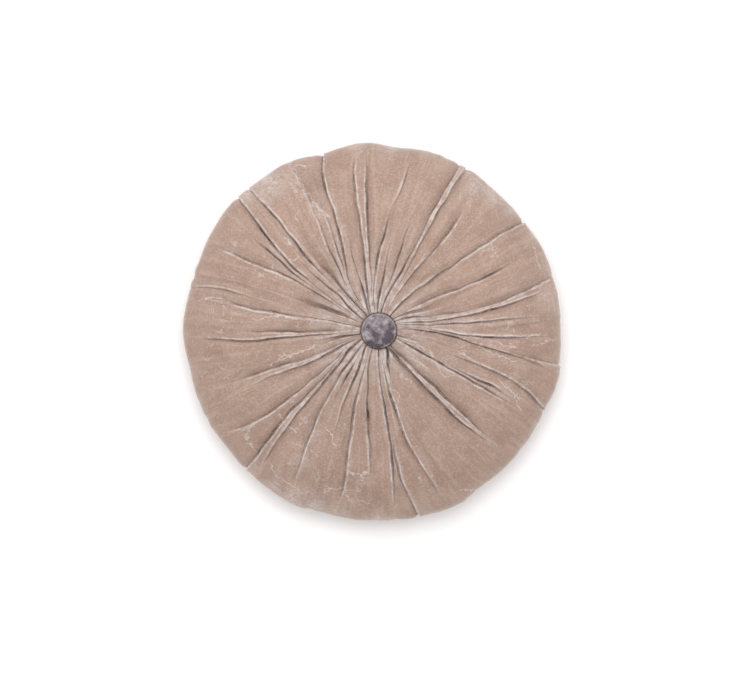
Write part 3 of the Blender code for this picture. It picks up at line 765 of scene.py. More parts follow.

# %% [markdown]
# The cover's mesh
#
# The rings become the cover's mesh. The same pass measures how sharply the cloth bends across
# each column, because a ridge is painted pale: a painted sheen highlight where the pile also
# splays. What the material needs to know is kept on the mesh as attributes, one number for each
# point. Image textures could hold it too, but they would need an unwrapped mesh and a file.

# %% Build the cover
LEAST_ACROSS = 0.05


def bend_across(points):
    """How sharply the cloth bends across the columns, in 1/mm: above 0 on a ridge."""
    normal = normals_of(points)
    bend = np.zeros(points.shape[:2])
    for reach in (1, 2):
        ahead, behind = np.roll(points, -reach, axis=1), np.roll(points, reach, axis=1)
        turned = np.roll(normal, -reach, axis=1) - np.roll(normal, reach, axis=1)
        across = ahead - behind
        length = np.maximum((across**2).sum(axis=2), LEAST_ACROSS)
        bend += (turned * across).sum(axis=2) / length / 2
    return bend


def add_attribute(obj, name, values):
    """Keeps a number for every point on the mesh. The two poles get 0."""
    layer = obj.data.attributes.new(name, "FLOAT", "POINT")
    layer.data.foreach_set("value", np.concatenate([[0.0], values.ravel(), [0.0]]).astype(np.float32))


cover = grid_mesh("gathered_cover", grid, SEAT_HEIGHT, BACK_DIMPLE)
bend = bend_across(grid)
print("bend across from", round(float(bend.min()), 2), "to", round(float(bend.max()), 2))

# %% [markdown]
# Painted highlight on ridges, painted shade in tucks
#
# Ridges are painted pale as a sheen highlight, where the pile also splays. Tucks and the cloth
# beside the button are painted dark as shade. The bend alone would paint every ridge alike. In
# the photo the gathers near the button are palest, the rolls beside the long creases come next,
# and the open cloth on the crown keeps its even rose colour.

# %% Paint ridges and tucks
NEAR_BUTTON = (0.14, 0.40)
RIDGE_BEND = (0.03, 0.35)
# How pale the painted highlight on a ridge is anywhere, how much paler near the button, and how pale all
# cloth there is painted as a highlight
RIDGE_PALE, RIDGE_PALER, GATHERS_PALE = 0.25, 0.65, 0.12
# The shade beside the button: the distances between which it ends, and how dark it is
BUTTON_SHADE_ENDS = (18.9, 20.8)
BUTTON_SHADE = 0.9

share_of_ring = np.array([float(section_curve.at(path)[0]) for path in RINGS])
on_face = (np.array(RINGS) <= 1.0)[:, None]
out_from_axis = np.hypot(grid[:, :, 0], grid[:, :, 1])
near_button = np.where(on_face, 1 - step_over(share_of_ring, *NEAR_BUTTON)[:, None], 0.0)
# Ridges and rolls get a painted highlight, paler near the button; tucks and the cloth beside the button get
# painted shade
ridge = step_over(bend, *RIDGE_BEND) * (RIDGE_PALE + RIDGE_PALER * near_button)
ridge = np.clip(np.maximum(ridge, roll_paint) + GATHERS_PALE * near_button, 0, 1)
beside_button = 1 - step_over(out_from_axis, *BUTTON_SHADE_ENDS)
tuck = np.clip(np.maximum(tuck_paint, BUTTON_SHADE * beside_button), 0, 1)
add_attribute(cover, "ridge", ridge * (1 - tuck))
add_attribute(cover, "tuck", tuck)
print("dark on", round(100 * float((tuck > 0.5).mean())), "in 100 points of the cover")

# %% [markdown]
# Painted light across the cover
#
# The cover is painted a little lighter towards the top of the picture and a little darker
# towards the bottom, as the light from beyond the top falls on it. At the rim it is painted
# lighter all round, a painted sheen. In a few places it is painted darker, the largest of them
# as painted shade on a lobe that faces away from the light. The table gives them as (angle,
# share of the way to the edge, reach in millimetres, how much lighter, below 0 darker).

# %% Painted light, painted sheen at the rim and darker spots
# Where the painted light gives way to the rim's painted sheen, in shares of the way to the edge
GRADIENT_TO_RIM = (0.82, 0.98)
# The rim's painted sheen, and between which places of the section's path it ends below the rim
RIM_PAINTED_SHEEN = 1.3
RIM_SHEEN_ENDS = (1.00, 1.16)
PAINTED_DARKER_SPOTS = ((114.5, 0.83, 13, -2.6), (54, 0.92, 12, -1.0), (35, 0.87, 12, -0.8))


def way(turn):
    """A step of length 1 in a direction that is given in radians."""
    return np.array([math.cos(turn), math.sin(turn)])


def place_at(angle, share):
    """The place on the face at that angle and that share of the way to the edge."""
    return share * float(edge_distance(angle)) * way(math.radians(angle))


def near_to(angle, share, reach):
    """How near each point is to a place on the face: 1 there, and less the further it lies."""
    x, y = place_at(angle, share)
    away = np.hypot(grid[:, :, 0] - x, grid[:, :, 1] - y)
    return np.exp(-((away / reach) ** 2)) * on_face


# Painted light: lighter towards the top of the picture, a painted sheen at the rim and darker spots
at_rim = step_over(share_of_ring, *GRADIENT_TO_RIM) * (1 - step_over(RINGS, *RIM_SHEEN_ENDS))
at_rim = at_rim[:, None]
painted_light = grid[:, :, 1] / np.maximum(out_from_axis, 1.0) * on_face
painted_light = painted_light * (1 - at_rim) + RIM_PAINTED_SHEEN * at_rim
for angle, share, reach, lighter in PAINTED_DARKER_SPOTS:
    painted_light = painted_light + lighter * near_to(angle, share, reach)
add_attribute(cover, "painted_light", painted_light)
print("pile leans from", round(float(painted_light.min()), 2), "to", round(float(painted_light.max()), 2))

# %% [markdown]
# Crushed marks
#
# Velvet creases when it is packed, and the crushed pile shows as pale zigzag lines about a
# millimetre wide. The longest are in the first table one by one, as runs of points in
# millimetres from the button's axis. The short ones only need to gather in the right places,
# so the second table says where, and a seeded random generator lays them roughly along the
# cloth. A line so thin can't be painted on this mesh. But its distance, with a sign for the
# side, runs evenly through 0 from point to point. So a coarse mesh can keep that distance, and
# the material draws the line where it is 0.

# %% Where the pile is crushed
LONG_MARKS = (
    ((28, -10), (54, 1)),
    ((36, -16), (45, -16), (58, -28), (62, -38), (69, -49), (78, -47)),
    ((19, -29), (33, -28), (43, -33), (52, -40)),
    ((86, -23), (101, -33), (120, -41)),
    ((101, -12), (120, -25), (141, -31)),
    ((112, -7), (130, -14), (143, -17)),
    ((164, -15), (185, -9)),
    ((138, -4), (154, -7), (170, -4)),
    ((75, 1), (88, -4), (107, -7)),
    ((128, -54), (138, -62), (149, -83)),
    ((15, -62), (22, -68), (17, -83)),
    ((14, -24), (13, -36)),
    ((-116, -36), (-98, -29), (-82, -22), (-67, -16)),
    ((-148, -104), (-132, -101)),
    ((-103, -88), (-98, -99), (-87, -104)),
    ((-53, -104), (-48, -112), (-45, -122)),
    ((-32, -146), (-22, -151), (-14, -148)),
    ((-56, -162), (-45, -167), (-35, -164)),
    ((-114, -141), (-106, -154), (-93, -162), (-77, -172)),
    ((-138, -115), (-129, -127)),
    ((-90, 172), (-80, 153), (-69, 135), (-53, 119)),
    ((-98, 177), (-72, 174)),
    ((-130, 11), (-103, 16), (-82, 12), (-54, 10)),
    ((-187, 33), (-171, 35), (-156, 30)),
    ((-99, 97), (-90, 90)),
    ((-124, 103), (-116, 95)),
    ((94, 169), (115, 148)),
    ((112, 151), (128, 138)),
    ((164, 88), (170, 66)),
    ((164, 46), (180, 53)),
    ((88, -167), (107, -169), (122, -162)),
)
# (angle, share of the way to the edge, reach in millimetres, how many)
SHORT_MARKS = (
    (120, 0.70, 14, 8), (121, 0.88, 13, 10), (128, 0.93, 18, 10), (96, 0.95, 16, 6), (88, 0.95, 14, 3),
    (57, 0.90, 14, 8), (47, 0.95, 12, 6), (12, 0.90, 12, 5), (0, 0.70, 16, 5), (5, 0.55, 14, 5),
    (-6, 0.45, 12, 5), (322, 0.30, 12, 5), (312, 0.24, 8, 3), (300, 0.30, 10, 3), (280, 0.50, 14, 5),
    (262, 0.85, 20, 10), (248, 0.90, 18, 11), (238, 0.72, 16, 8), (226, 0.62, 16, 6), (216, 0.80, 16, 5),
    (200, 0.50, 16, 5), (192, 0.85, 20, 6), (175, 0.80, 18, 6), (176, 0.35, 14, 5), (150, 0.60, 16, 5),
    (150, 0.85, 16, 5), (105, 0.55, 12, 3), (35, 0.75, 18, 5), (340, 0.80, 18, 5), (290, 0.80, 18, 5),
)
# A short mark's length, how far it turns away from the cloth's run, and how far it bends
SHORT_LENGTH = (2.0, 8.0)
SHORT_TURN = 40.0
SHORT_BEND = 1.2
LONG_STRENGTH = 0.58
SHORT_STRENGTH = 0.37
# A mark is drawn where its distance is below the first number, and fades by the second.
MARK_FADES = (3.0, 5.5)
MARK_LIMIT = 20.0
# Both the marks and the patches of flattened pile and painted sheen fade down the cushion's side, between
# these heights.
SIDE_FADES = (42.0, 60.0)
SEED_MARKS = 11


def short_marks():
    """Short bent marks roughly along the cloth, gathered round the places in the table."""
    random = np.random.default_rng(SEED_MARKS)
    runs = []
    for angle, share, reach, count in SHORT_MARKS:
        for _ in range(count):
            place = place_at(angle, share) + random.normal(0, reach / 2, 2)
            heading = math.radians(angle) + math.radians(random.normal(0, SHORT_TURN))
            half = random.uniform(*SHORT_LENGTH) / 2 * way(heading)
            runs.append((place - half, place + random.normal(0, SHORT_BEND, 2), place + half))
    return runs


def away_from_run(points, run):
    """How far each point lies from a run of points, below 0 on the right of it."""
    nearest = np.full(len(points), MARK_LIMIT)
    for start, end in zip(np.array(run[:-1], float), np.array(run[1:], float)):
        line = end - start
        from_start = points - start
        along = np.clip(from_start @ line / (line @ line), 0, 1)
        away = np.linalg.norm(from_start - along[:, None] * line, axis=1)
        side = np.where(line[0] * from_start[:, 1] - line[1] * from_start[:, 0] > 0, 1.0, -1.0)
        nearest = np.where(away < np.abs(nearest), side * away, nearest)
    return nearest


down_side = step_over(grid[:, :, 2], *SIDE_FADES) * on_face
marks = [(run, LONG_STRENGTH) for run in LONG_MARKS]
marks += [(run, SHORT_STRENGTH) for run in short_marks()]
seen_from_above = grid[:, :, :2].reshape(-1, 2)
mark_away = np.full(len(seen_from_above), MARK_LIMIT)
mark_here = np.zeros(len(seen_from_above))
for run, strength in marks:
    away = away_from_run(seen_from_above, run)
    nearer = np.abs(away) < np.abs(mark_away)
    mark_away = np.where(nearer, away, mark_away)
    mark_here = np.where(nearer, strength, mark_here)
mark_here = mark_here * (1 - step_over(np.abs(mark_away), *MARK_FADES))
add_attribute(cover, "mark_away", mark_away.reshape(bend.shape))
add_attribute(cover, "mark_here", mark_here.reshape(bend.shape) * down_side)
print(len(marks), "crushed marks")

# %% [markdown]
# Flattened pile and painted sheen
#
# In a few places the cloth is painted paler all over. At the rim this is a painted sheen; further
# in, the pile is flattened and shows paler. The table gives them as (angle, share of the way to
# the edge, reach in millimetres, strength).

# %% Where the pile is flattened and where sheen is painted
FLATTENED_AND_SHEEN = (
    (127, 0.95, 17, 0.75), (134, 0.97, 9, 0.7), (121, 0.93, 12, 0.3), (117.4, 0.66, 4, 0.7),
    (118.2, 0.73, 4, 0.7), (118.8, 0.80, 4, 0.7), (119.2, 0.87, 4, 0.6), (112, 0.95, 8, 0.2),
    (97, 0.99, 9, 0.5), (86, 0.99, 10, 0.5), (56, 0.93, 9, 0.6), (50, 0.96, 10, 0.6),
    (43, 0.975, 9, 0.5), (62, 0.97, 7, 0.4), (31, 0.98, 8, 0.3), (236, 0.96, 9, 0.6),
    (243, 0.965, 11, 0.75), (250, 0.97, 11, 0.7), (257, 0.98, 10, 0.55), (228, 0.96, 7, 0.4),
    (270, 0.98, 9, 0.4), (20, 0.98, 8, 0.3), (7, 0.98, 8, 0.3), (11, 0.93, 9, 0.4),
    (326, 0.22, 12, 0.25), (278, 0.15, 10, 0.6), (256, 0.14, 8, 0.4), (202, 0.32, 10, 0.35),
    (238, 0.62, 8, 0.5), (240, 0.78, 8, 0.5), (171, 0.30, 14, 0.35), (2, 0.45, 12, 0.35),
    (-6, 0.62, 10, 0.3), (335, 0.40, 12, 0.3),
)
flattened_and_sheen = np.zeros(grid.shape[:2])
for angle, share, reach, strength in FLATTENED_AND_SHEEN:
    flattened_and_sheen = np.maximum(flattened_and_sheen, strength * near_to(angle, share, reach))
add_attribute(cover, "flattened_and_sheen", flattened_and_sheen * down_side)
print(len(FLATTENED_AND_SHEEN), "flattened patches")

# %% [markdown]
# Where each point lies on the cloth
#
# Fine ripples follow the cloth, which runs from the button outwards and is drawn together
# there. So each point also keeps its place on the cloth: round the tube, as a point of a
# circle, and along it. A circle has no seam where the angle jumps from 360 to 0.

# %% Keep each point's place on the cloth
TUBE_RADIUS = 200.0
half_way = int(np.argmin(np.abs(share_of_ring - CROWN_SHARE)))
tube_angle = np.arctan2(grid[half_way, :, 1], grid[half_way, :, 0])
along_ring = np.linalg.norm(np.diff(grid, axis=0), axis=2).mean(axis=1)
along_cloth = np.concatenate([[0.0], np.cumsum(along_ring)])
cloth_place = np.zeros(grid.shape)
cloth_place[:, :, 0] = TUBE_RADIUS * np.cos(tube_angle)[None, :]
cloth_place[:, :, 1] = TUBE_RADIUS * np.sin(tube_angle)[None, :]
cloth_place[:, :, 2] = along_cloth[:, None]
layer = cover.data.attributes.new("cloth", "FLOAT_VECTOR", "POINT")
rows = [cloth_place[0].mean(axis=0), *cloth_place.reshape(-1, 3), cloth_place[-1].mean(axis=0)]
layer.data.foreach_set("vector", (np.array(rows) * MM).ravel().astype(np.float32))
print("cloth from button to button", round(float(along_cloth[-1])), "mm long")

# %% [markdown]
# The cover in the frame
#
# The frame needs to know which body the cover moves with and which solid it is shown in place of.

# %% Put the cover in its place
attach(cover, "root")
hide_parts("cushion")

# %% [markdown]
# The covered button
#
# A dome of tin with velvet stretched over it and tucked in behind. It is a turned form, but the
# cloth bunches a little where it goes round the rim, so the rim is finely ribbed. The sizes
# come from its solid.

# %% Build the button
# (share of the radius, share of the height), from its top down to its foot
BUTTON_OUTLINE = (
    (0.00, 1.000), (0.16, 0.996), (0.30, 0.985), (0.44, 0.962), (0.55, 0.935), (0.66, 0.897),
    (0.76, 0.850), (0.84, 0.795), (0.91, 0.720), (0.96, 0.645), (0.985, 0.570), (1.00, 0.450),
    (0.975, 0.320), (0.90, 0.180), (0.74, 0.040), (0.62, 0.000), (0.30, 0.000),
)
BUTTON_SIDES = 208
BUTTON_STEPS = 3
# The small tucks round the rim: how many, how unevenly they lie, how deep they are, where they
# begin, and from which row of the outline they run on underneath, by what share
BUTTON_TUCKS, TUCKS_UNEVEN = 26, 0.6
TUCK_SWING, TUCK_DEPTH = 0.22, 0.25
TUCKS_BEGIN = (0.80, 0.99)
UNDERNEATH, TUCKS_UNDERNEATH = 12, 0.8
# The dents in the dome, and how much room is left for what stands out
DENT_DEPTH, DENT_SCALE, DENT_SEED = 0.35, 1.7, 5.0
BUTTON_ROOM = 0.3
outline_curve = Curve(range(len(BUTTON_OUTLINE)), np.array(BUTTON_OUTLINE).T)


def button_ring(step):
    """The points of one ring of the button."""
    share, height = outline_curve.at(step)
    turn = np.arange(BUTTON_SIDES) * 2 * math.pi / BUTTON_SIDES
    ribs = np.cos(turn * BUTTON_TUCKS + TUCKS_UNEVEN * np.sin(3 * turn)) * TUCK_SWING
    ribs = ribs * float(step_over(share, *TUCKS_BEGIN) + (step > UNDERNEATH) * TUCKS_UNDERNEATH)
    places = [Vector((math.cos(a) * share, math.sin(a) * share, DENT_SEED)) for a in turn]
    dents = np.array([noise.noise(place * DENT_SCALE) for place in places])
    radius = share * (BUTTON_RADIUS - BUTTON_ROOM) - TUCK_DEPTH * abs(ribs)
    z = BUTTON_FOOT + height * BUTTON_HEIGHT + DENT_DEPTH * dents * height
    return np.stack([radius * np.cos(turn), radius * np.sin(turn), z], axis=1)


button_steps = range(1, BUTTON_STEPS * len(BUTTON_OUTLINE) - 2)
button_grid = np.array([button_ring(step / BUTTON_STEPS) for step in button_steps])
button = grid_mesh("covered_button", button_grid, BUTTON_FOOT + BUTTON_HEIGHT, BUTTON_FOOT)
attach(button, "root")
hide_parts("button")
print("button of", 2 * len(button_grid) * BUTTON_SIDES, "triangles")

# %% [markdown]
# Making a velvet
#
# Velvet is a short, dense pile. Seen straight on it is matt and deep in colour; seen at a
# glancing angle the sides of its fibres catch the light. The Principled shader's sheen does
# that. The colour comes from layers, each a mix over the last: a fine grain, slow patches
# where the pile leans another way, crushed lines, painted sheen patches, ridges painted pale as a
# highlight, tucks painted dark as shade, and painted light across the whole cloth.

# %% Node helpers
def new_material(name, finish):
    """A node material whose Principled shader has the finish's values on its own sockets."""
    material = bpy.data.materials.new(name)
    material.use_nodes = True
    shader = material.node_tree.nodes["Principled BSDF"]
    for socket, value in finish.items():
        shader.inputs[socket].default_value = value
    return material, material.node_tree, shader


def node(tree, kind, **values):
    """A node with its properties and unlinked inputs set."""
    made = tree.nodes.new(kind)
    for key, value in values.items():
        if key in made.inputs:
            made.inputs[key].default_value = value
        else:
            setattr(made, key, value)
    return made


def noise_of(tree, place, size_mm, detail=2.0, distortion=0.0):
    """Noise whose patches are about size_mm across."""
    scale = 1 / (size_mm * MM)
    made = node(tree, "ShaderNodeTexNoise", Scale=scale, Detail=detail, Distortion=distortion)
    tree.links.new(place, made.inputs["Vector"])
    return made.outputs["Fac"]


def stretched(tree, place, sizes):
    """The place with its axes scaled, which draws a pattern out the other way."""
    made = node(tree, "ShaderNodeMapping", Scale=sizes)
    tree.links.new(place, made.inputs["Vector"])
    return made.outputs["Vector"]


def ramp(tree, value, low, high, start=0.0, end=1.0):
    """The value stretched from low..high to start..end, with soft ends."""
    made = node(tree, "ShaderNodeMapRange", interpolation_type="SMOOTHSTEP")
    for name, number in zip(("From Min", "From Max", "To Min", "To Max"), (low, high, start, end)):
        made.inputs[name].default_value = number
    tree.links.new(value, made.inputs["Value"])
    return made.outputs["Result"]


def maths(tree, operation, *values):
    """A maths node on numbers or sockets."""
    made = node(tree, "ShaderNodeMath", operation=operation)
    for socket, value in zip(made.inputs, values):
        if isinstance(value, (int, float)):
            socket.default_value = value
        else:
            tree.links.new(value, socket)
    return made.outputs["Value"]


def mix(tree, amount, under, over):
    """The colour over laid on the colour under by the amount."""
    made = node(tree, "ShaderNodeMix", data_type="RGBA")
    tree.links.new(amount, made.inputs[0])
    colours = [socket for socket in made.inputs if socket.type == "RGBA"]
    for socket, value in zip(colours, (under, over)):
        if isinstance(value, tuple):
            socket.default_value = (*value, 1.0)
        else:
            tree.links.new(value, socket)
    return next(socket for socket in made.outputs if socket.type == "RGBA")


def attribute(tree, name, output="Fac"):
    """What the mesh keeps under that name, as a number unless another output is asked for."""
    return node(tree, "ShaderNodeAttribute", attribute_name=name).outputs[output]


def bump(tree, height, strength, distance_mm, under=None):
    """A bump from a height, on top of another bump if there is one."""
    made = node(tree, "ShaderNodeBump", Strength=strength, Distance=distance_mm * MM)
    tree.links.new(height, made.inputs["Height"])
    if under is not None:
        tree.links.new(under, made.inputs["Normal"])
    return made.outputs["Normal"]


# %% [markdown]
# The cover's velvet
#
# Dusty rose, with a pale warm grey painted on the ridges as a highlight. One grain would look
# printed, so five patterns of different sizes are laid over each other: threads, nap, fine
# gathers, ripples and slow patches. The gathers and ripples are read from the place on the cloth
# and so run with it. Over them come the ridges' painted highlight, the crushed pile with the
# painted sheen patches, and the tucks' painted shade, which the mesh knows about. Last, the
# cloth is painted lighter towards the top of the picture and at the rim, and darker towards the
# bottom. The same patterns raise the surface a little, so that light finds them as well.

# %% The rose velvet
ROSE = (0.363, 0.253, 0.203)
ROSE_DEEP = (0.314, 0.210, 0.165)
ROSE_LIGHT = (0.455, 0.334, 0.280)
# ROSE_PALE is the ridges' painted highlight, TUCK_SHADE the tucks' painted shade, and CHALK the crushed
# pile and the painted sheen patches
ROSE_PALE = (0.600, 0.530, 0.512)
TUCK_SHADE = (0.074, 0.042, 0.033)
CHALK = (0.640, 0.560, 0.530)
THREAD = 1.15
# How light the whole cloth is, and by how much the painted light changes that
COVER_VALUE = 0.940
PAINTED_LIGHT_SHARE = 0.068
# The crushed marks: half their width, and the size and reach of their zigzag, in millimetres
MARK_WIDTH = 0.7
MARK_ZIGZAG, MARK_REACH = 5.2, 8.5
ROSE_FINISH = {
    "Roughness": 0.85, "Specular IOR Level": 0.25, "Sheen Weight": 0.95,
    "Sheen Roughness": 0.30, "Sheen Tint": (1.0, 0.93, 0.90, 1.0),
}


def canvas(tree, place):
    """Short threads that run across and along: the ground that the pile stands on."""
    across = noise_of(tree, stretched(tree, place, (0.3, 1.0, 1.0)), THREAD, detail=1.0)
    along = noise_of(tree, stretched(tree, place, (1.0, 0.3, 1.0)), THREAD, detail=1.0)
    return maths(tree, "MULTIPLY", maths(tree, "ADD", across, along), 0.5)


def folded_marks(tree, place):
    """The crushed marks as thin zigzag lines."""
    zigzag = maths(tree, "SUBTRACT", noise_of(tree, place, MARK_ZIGZAG, detail=1.5), 0.5)
    away = maths(tree, "MULTIPLY_ADD", zigzag, MARK_REACH, attribute(tree, "mark_away"))
    line = ramp(tree, maths(tree, "ABSOLUTE", away), 1.5 * MARK_WIDTH, 0.5 * MARK_WIDTH)
    patchy = ramp(tree, noise_of(tree, place, 3.5, detail=1.0), 0.36, 0.54, 0.45, 1.0)
    return maths(tree, "MULTIPLY", maths(tree, "MULTIPLY", line, patchy), attribute(tree, "mark_here"))


def rose_velvet():
    """The cover's cloth."""
    material, tree, shader = new_material("rose_velvet", ROSE_FINISH)
    place = node(tree, "ShaderNodeTexCoord").outputs["Object"]
    weave = canvas(tree, place)
    nap = noise_of(tree, place, 3.0, detail=3.0)
    patches = noise_of(tree, place, 24, detail=2.0, distortion=0.6)
    cloth = attribute(tree, "cloth", "Vector")
    ripple = noise_of(tree, stretched(tree, cloth, (1.0, 1.0, 0.12)), 7, detail=2.0)
    gathers = noise_of(tree, stretched(tree, cloth, (1.0, 1.0, 0.10)), 3.6, detail=2.0)
    colour = mix(tree, ramp(tree, patches, 0.38, 0.66), ROSE, ROSE_DEEP)
    # (pattern, its value where the tint is full, how strong the tint is there, tint)
    layers = (
        (gathers, 0.70, 0.38, ROSE_LIGHT), (gathers, 0.30, 0.45, ROSE_DEEP),
        (ripple, 0.72, 0.45, ROSE_LIGHT), (ripple, 0.28, 0.60, ROSE_DEEP),
        (nap, 0.75, 0.4, ROSE_LIGHT),
        (weave, 0.66, 0.70, ROSE_LIGHT), (weave, 0.34, 0.70, ROSE_DEEP),
    )
    for pattern, full_at, strength, tint in layers:
        colour = mix(tree, ramp(tree, pattern, 0.50, full_at, 0.0, strength), colour, tint)
    # The ridges' painted highlight, broken up by a noise
    patchy = ramp(tree, noise_of(tree, place, 6.5, detail=2.0), 0.36, 0.60, 0.30, 1.0)
    ridge_amount = maths(tree, "MULTIPLY", attribute(tree, "ridge"), patchy)
    colour = mix(tree, ridge_amount, colour, ROSE_PALE)
    # Crushed pile, and the patches of flattened pile and painted sheen, are mixed in chalk
    streaks = noise_of(tree, stretched(tree, cloth, (0.35, 0.35, 1.0)), 1.8, detail=3.0)
    speckle = ramp(tree, streaks, 0.38, 0.66, 0.20, 1.0)
    flattened_and_sheen = maths(tree, "MULTIPLY", attribute(tree, "flattened_and_sheen"), speckle)
    crushed_and_sheen = maths(tree, "MAXIMUM", folded_marks(tree, place), flattened_and_sheen)
    colour = mix(tree, crushed_and_sheen, colour, CHALK)
    shade = ramp(tree, noise_of(tree, place, 9, detail=2.0), 0.35, 0.62, 0.35, 1.0)
    colour = mix(tree, maths(tree, "MULTIPLY", attribute(tree, "tuck"), shade), colour, TUCK_SHADE)
    # Painted light: the cloth's value is raised towards the top of the picture and at the rim, and lowered
    # towards the bottom
    pile_and_painted_light = node(tree, "ShaderNodeHueSaturation")
    tree.links.new(colour, pile_and_painted_light.inputs["Color"])
    value = maths(tree, "MULTIPLY_ADD", attribute(tree, "painted_light"), PAINTED_LIGHT_SHARE, COVER_VALUE)
    tree.links.new(value, pile_and_painted_light.inputs["Value"])
    tree.links.new(pile_and_painted_light.outputs["Color"], shader.inputs["Base Color"])
    relief = bump(tree, crushed_and_sheen, 0.6, 0.5)
    # (pattern, strength, height in millimetres)
    bumps = ((ripple, 0.5, 0.9), (gathers, 0.4, 0.5), (nap, 0.35, 0.4), (weave, 0.45, 0.25))
    for pattern, strength, height in bumps:
        relief = bump(tree, pattern, strength, height, relief)
    tree.links.new(relief, shader.inputs["Normal"])
    return material


cover.data.materials.append(rose_velvet())
print("rose velvet of", len(cover.data.materials[0].node_tree.nodes), "nodes")

# %% [markdown]
# The button's velvet
#
# The button has another cloth, a darker grey-mauve. Its pile lies in light and dark patches,
# and its lower side is painted darker, as painted shade. The largest of them are placed one by
# one as soft spots, since a noise alone would put them anywhere. The rim is painted paler, as a
# painted highlight.

# %% The grey-mauve velvet
MAUVE = (0.180, 0.149, 0.166)
MAUVE_DEEP = (0.070, 0.055, 0.070)
MAUVE_PALE = (0.400, 0.360, 0.382)
# Where the button's pile lies dark or, with a strength below 0, pale; the dark spots gather on
# its lower side as painted shade. The places and reaches are in shares of its radius.
BUTTON_PILE_AND_SHADE = (
    (0.56, -0.31, 0.32, 0.9), (0.52, -0.55, 0.24, 0.9), (0.66, 0.13, 0.20, 0.8),
    (0.15, 0.20, 0.14, 0.2), (-0.29, -0.20, 0.19, 0.8), (-0.10, -0.28, 0.15, 0.7),
    (-0.25, -0.74, 0.28, 0.9), (-0.58, -0.72, 0.20, 1.0), (-0.56, 0.13, 0.14, 0.7),
    (-0.84, 0.13, 0.10, 0.5), (0.04, -0.97, 0.20, 0.8), (0.55, 0.35, 0.12, 0.4),
    (0.23, 0.68, 0.25, -0.3), (0.86, -0.09, 0.11, -0.9), (0.56, -0.84, 0.12, -1.0),
    (-0.84, 0.33, 0.13, -0.6), (-0.69, -0.31, 0.20, -0.8), (0.19, -0.13, 0.13, -0.6),
    (0.08, -0.62, 0.13, -0.4), (-0.40, 0.60, 0.22, -0.4), (-0.42, -0.37, 0.12, -0.4),
    (0.45, 0.50, 0.14, -0.4), (-0.02, 0.05, 0.14, -0.3),
)
# Where the button's edge is painted pale as a highlight, in shares of its radius, and how strongly
RIM_HIGHLIGHT_BAND = (0.86, 0.96)
RIM_HIGHLIGHT_SHARE = 0.55
# How much the noise and those places of pile and painted shade move the colour: (times the noise, plus,
# times the places)
PILE_NOISE, PILE_REST, PILE_AND_SHADE_PLACES = 0.8, 0.1, 0.25
MAUVE_FINISH = {
    "Roughness": 0.8, "Specular IOR Level": 0.25, "Sheen Weight": 0.7, "Sheen Roughness": 0.30,
}


def button_shade():
    """How dark the pile and the painted shade are, from -1 to 1, at every point of the button."""
    x, y = button_grid[:, :, 0] / BUTTON_RADIUS, button_grid[:, :, 1] / BUTTON_RADIUS
    shade = np.zeros(x.shape)
    for at_x, at_y, reach, strength in BUTTON_PILE_AND_SHADE:
        shade += strength * np.exp(-(((x - at_x) ** 2 + (y - at_y) ** 2) / reach**2))
    return np.clip(shade, -1, 1)


def mauve_velvet():
    """The button's cloth: patches of pile, painted shade on its lower side and a painted highlight at its
    rim.
    """
    material, tree, shader = new_material("mauve_velvet", MAUVE_FINISH)
    place = node(tree, "ShaderNodeTexCoord").outputs["Object"]
    grain = noise_of(tree, place, 0.9, detail=3.0)
    patches = noise_of(tree, place, 4.2, detail=4.0, distortion=0.3)
    calm = maths(tree, "MULTIPLY_ADD", patches, PILE_NOISE, PILE_REST)
    # Patches of pile, with painted shade on the button's lower side
    pile_and_painted_light = maths(tree, "MULTIPLY_ADD", attribute(tree, "dark"), PILE_AND_SHADE_PLACES, calm)
    colour = mix(tree, ramp(tree, pile_and_painted_light, 0.49, 0.70), MAUVE, MAUVE_DEEP)
    colour = mix(tree, ramp(tree, pile_and_painted_light, 0.50, 0.26, 0.0, 0.85), colour, MAUVE_PALE)
    colour = mix(tree, ramp(tree, grain, 0.5, 0.8, 0.0, 0.35), colour, MAUVE_PALE)
    # A painted highlight at the button's rim
    colour = mix(tree, attribute(tree, "rim_highlight"), colour, MAUVE_PALE)
    tree.links.new(colour, shader.inputs["Base Color"])
    relief = bump(tree, patches, 0.4, 0.4)
    relief = bump(tree, grain, 0.35, 0.2, relief)
    tree.links.new(relief, shader.inputs["Normal"])
    return material


dark_pile_and_shade = button_shade()
out_on_button = np.hypot(button_grid[:, :, 0], button_grid[:, :, 1]) / BUTTON_RADIUS
rim_highlight = step_over(out_on_button, *RIM_HIGHLIGHT_BAND) * (1 - np.clip(dark_pile_and_shade, 0, 1)) * RIM_HIGHLIGHT_SHARE
add_attribute(button, "dark", dark_pile_and_shade)
add_attribute(button, "rim_highlight", rim_highlight)
button.data.materials.append(mauve_velvet())
print("dark pile on", round(100 * float((dark_pile_and_shade > 0.3).mean())), "in 100 points of the button")

# %% [markdown]
# The studio
#
# The cushion lies on its back on a plain pale table and the camera looks straight down on its
# face. The light is soft and comes from all round, with a little more from beyond the top of
# the picture, which is what puts the pale line on the upper side of each roll.

# %% Floor and light
FLOOR_SIZE = 8.0
FLOOR_FINISH = {"Base Color": (0.93, 0.93, 0.93, 1.0), "Roughness": 0.9}
# (name, place, side of its square, watts)
LIGHTS = (("key", (-0.2, 0.9, 2.45), 1.8, 36), ("overhead", (0.2, -0.1, 3.6), 2.6, 46))
LIGHTS_AIM = (0.0, 0.0, 0.04)
ROOM_WHITE = (1.0, 1.0, 1.0, 1.0)
ROOM_LIGHT = 0.64


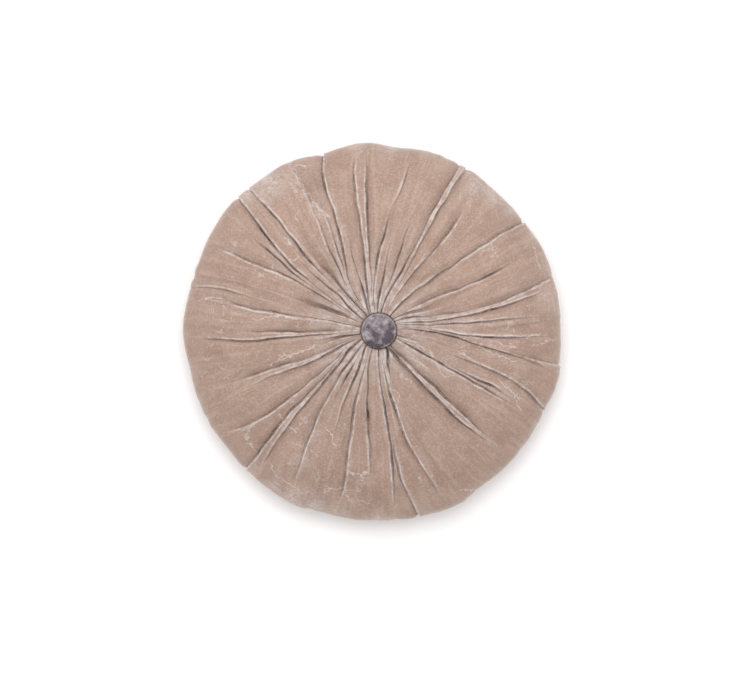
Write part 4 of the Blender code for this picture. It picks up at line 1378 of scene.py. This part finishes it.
def add_floor():
    """A plain pale floor at the cushion's own level."""
    half = FLOOR_SIZE / 2
    mesh = bpy.data.meshes.new("floor")
    corners = [(-half, -half, 0), (half, -half, 0), (half, half, 0), (-half, half, 0)]
    mesh.from_pydata(corners, [], [(0, 1, 2, 3)])
    floor = bpy.data.objects.new("floor", mesh)
    bpy.context.scene.collection.objects.link(floor)
    material, _, _ = new_material("pale_floor", FLOOR_FINISH)
    mesh.materials.append(material)


def add_light(name, place, size, watts):
    """A square soft light that points at the cushion."""
    data = bpy.data.lights.new(name, "AREA")
    data.size = size
    data.energy = watts
    light = bpy.data.objects.new(name, data)
    light.location = place
    light.rotation_euler = (Vector(LIGHTS_AIM) - Vector(place)).to_track_quat("-Z", "Y").to_euler()
    bpy.context.scene.collection.objects.link(light)


add_floor()
for row in LIGHTS:
    add_light(*row)
world = bpy.data.worlds.new("studio")
world.use_nodes = True
room = world.node_tree.nodes["Background"]
room.inputs["Color"].default_value = ROOM_WHITE
room.inputs["Strength"].default_value = ROOM_LIGHT
bpy.context.scene.world = world
bpy.context.scene.view_settings.view_transform = "Standard"
print(len(LIGHTS), "lights and a room of strength", ROOM_LIGHT)

# %% [markdown]
# The camera
#
# The photo shows the cushion 375 pixels across in a picture 750 pixels wide, a little above its
# middle. From the real width follows what one pixel covers, and from that the camera's height.

# %% Camera
PHOTO_SIZE = (750, 700)
PHOTO_MIDDLE = (372.3, 332.0)
PHOTO_ACROSS = 375.5
CUSHION_ACROSS = 0.400
LENS = 120.0
SENSOR = 36.0
RIM_HEIGHT = 0.044

metres_per_pixel = CUSHION_ACROSS / PHOTO_ACROSS
camera_height = RIM_HEIGHT + metres_per_pixel * PHOTO_SIZE[0] * LENS / SENSOR
camera_data = bpy.data.cameras.new("camera")
camera_data.lens = LENS
camera_data.sensor_width = SENSOR
camera = bpy.data.objects.new("camera", camera_data)
camera.location = (
    (PHOTO_SIZE[0] / 2 - PHOTO_MIDDLE[0]) * metres_per_pixel,
    (PHOTO_MIDDLE[1] - PHOTO_SIZE[1] / 2) * metres_per_pixel,
    camera_height,
)
bpy.context.scene.collection.objects.link(camera)
bpy.context.scene.camera = camera
print("camera at", [round(v, 3) for v in camera.location])
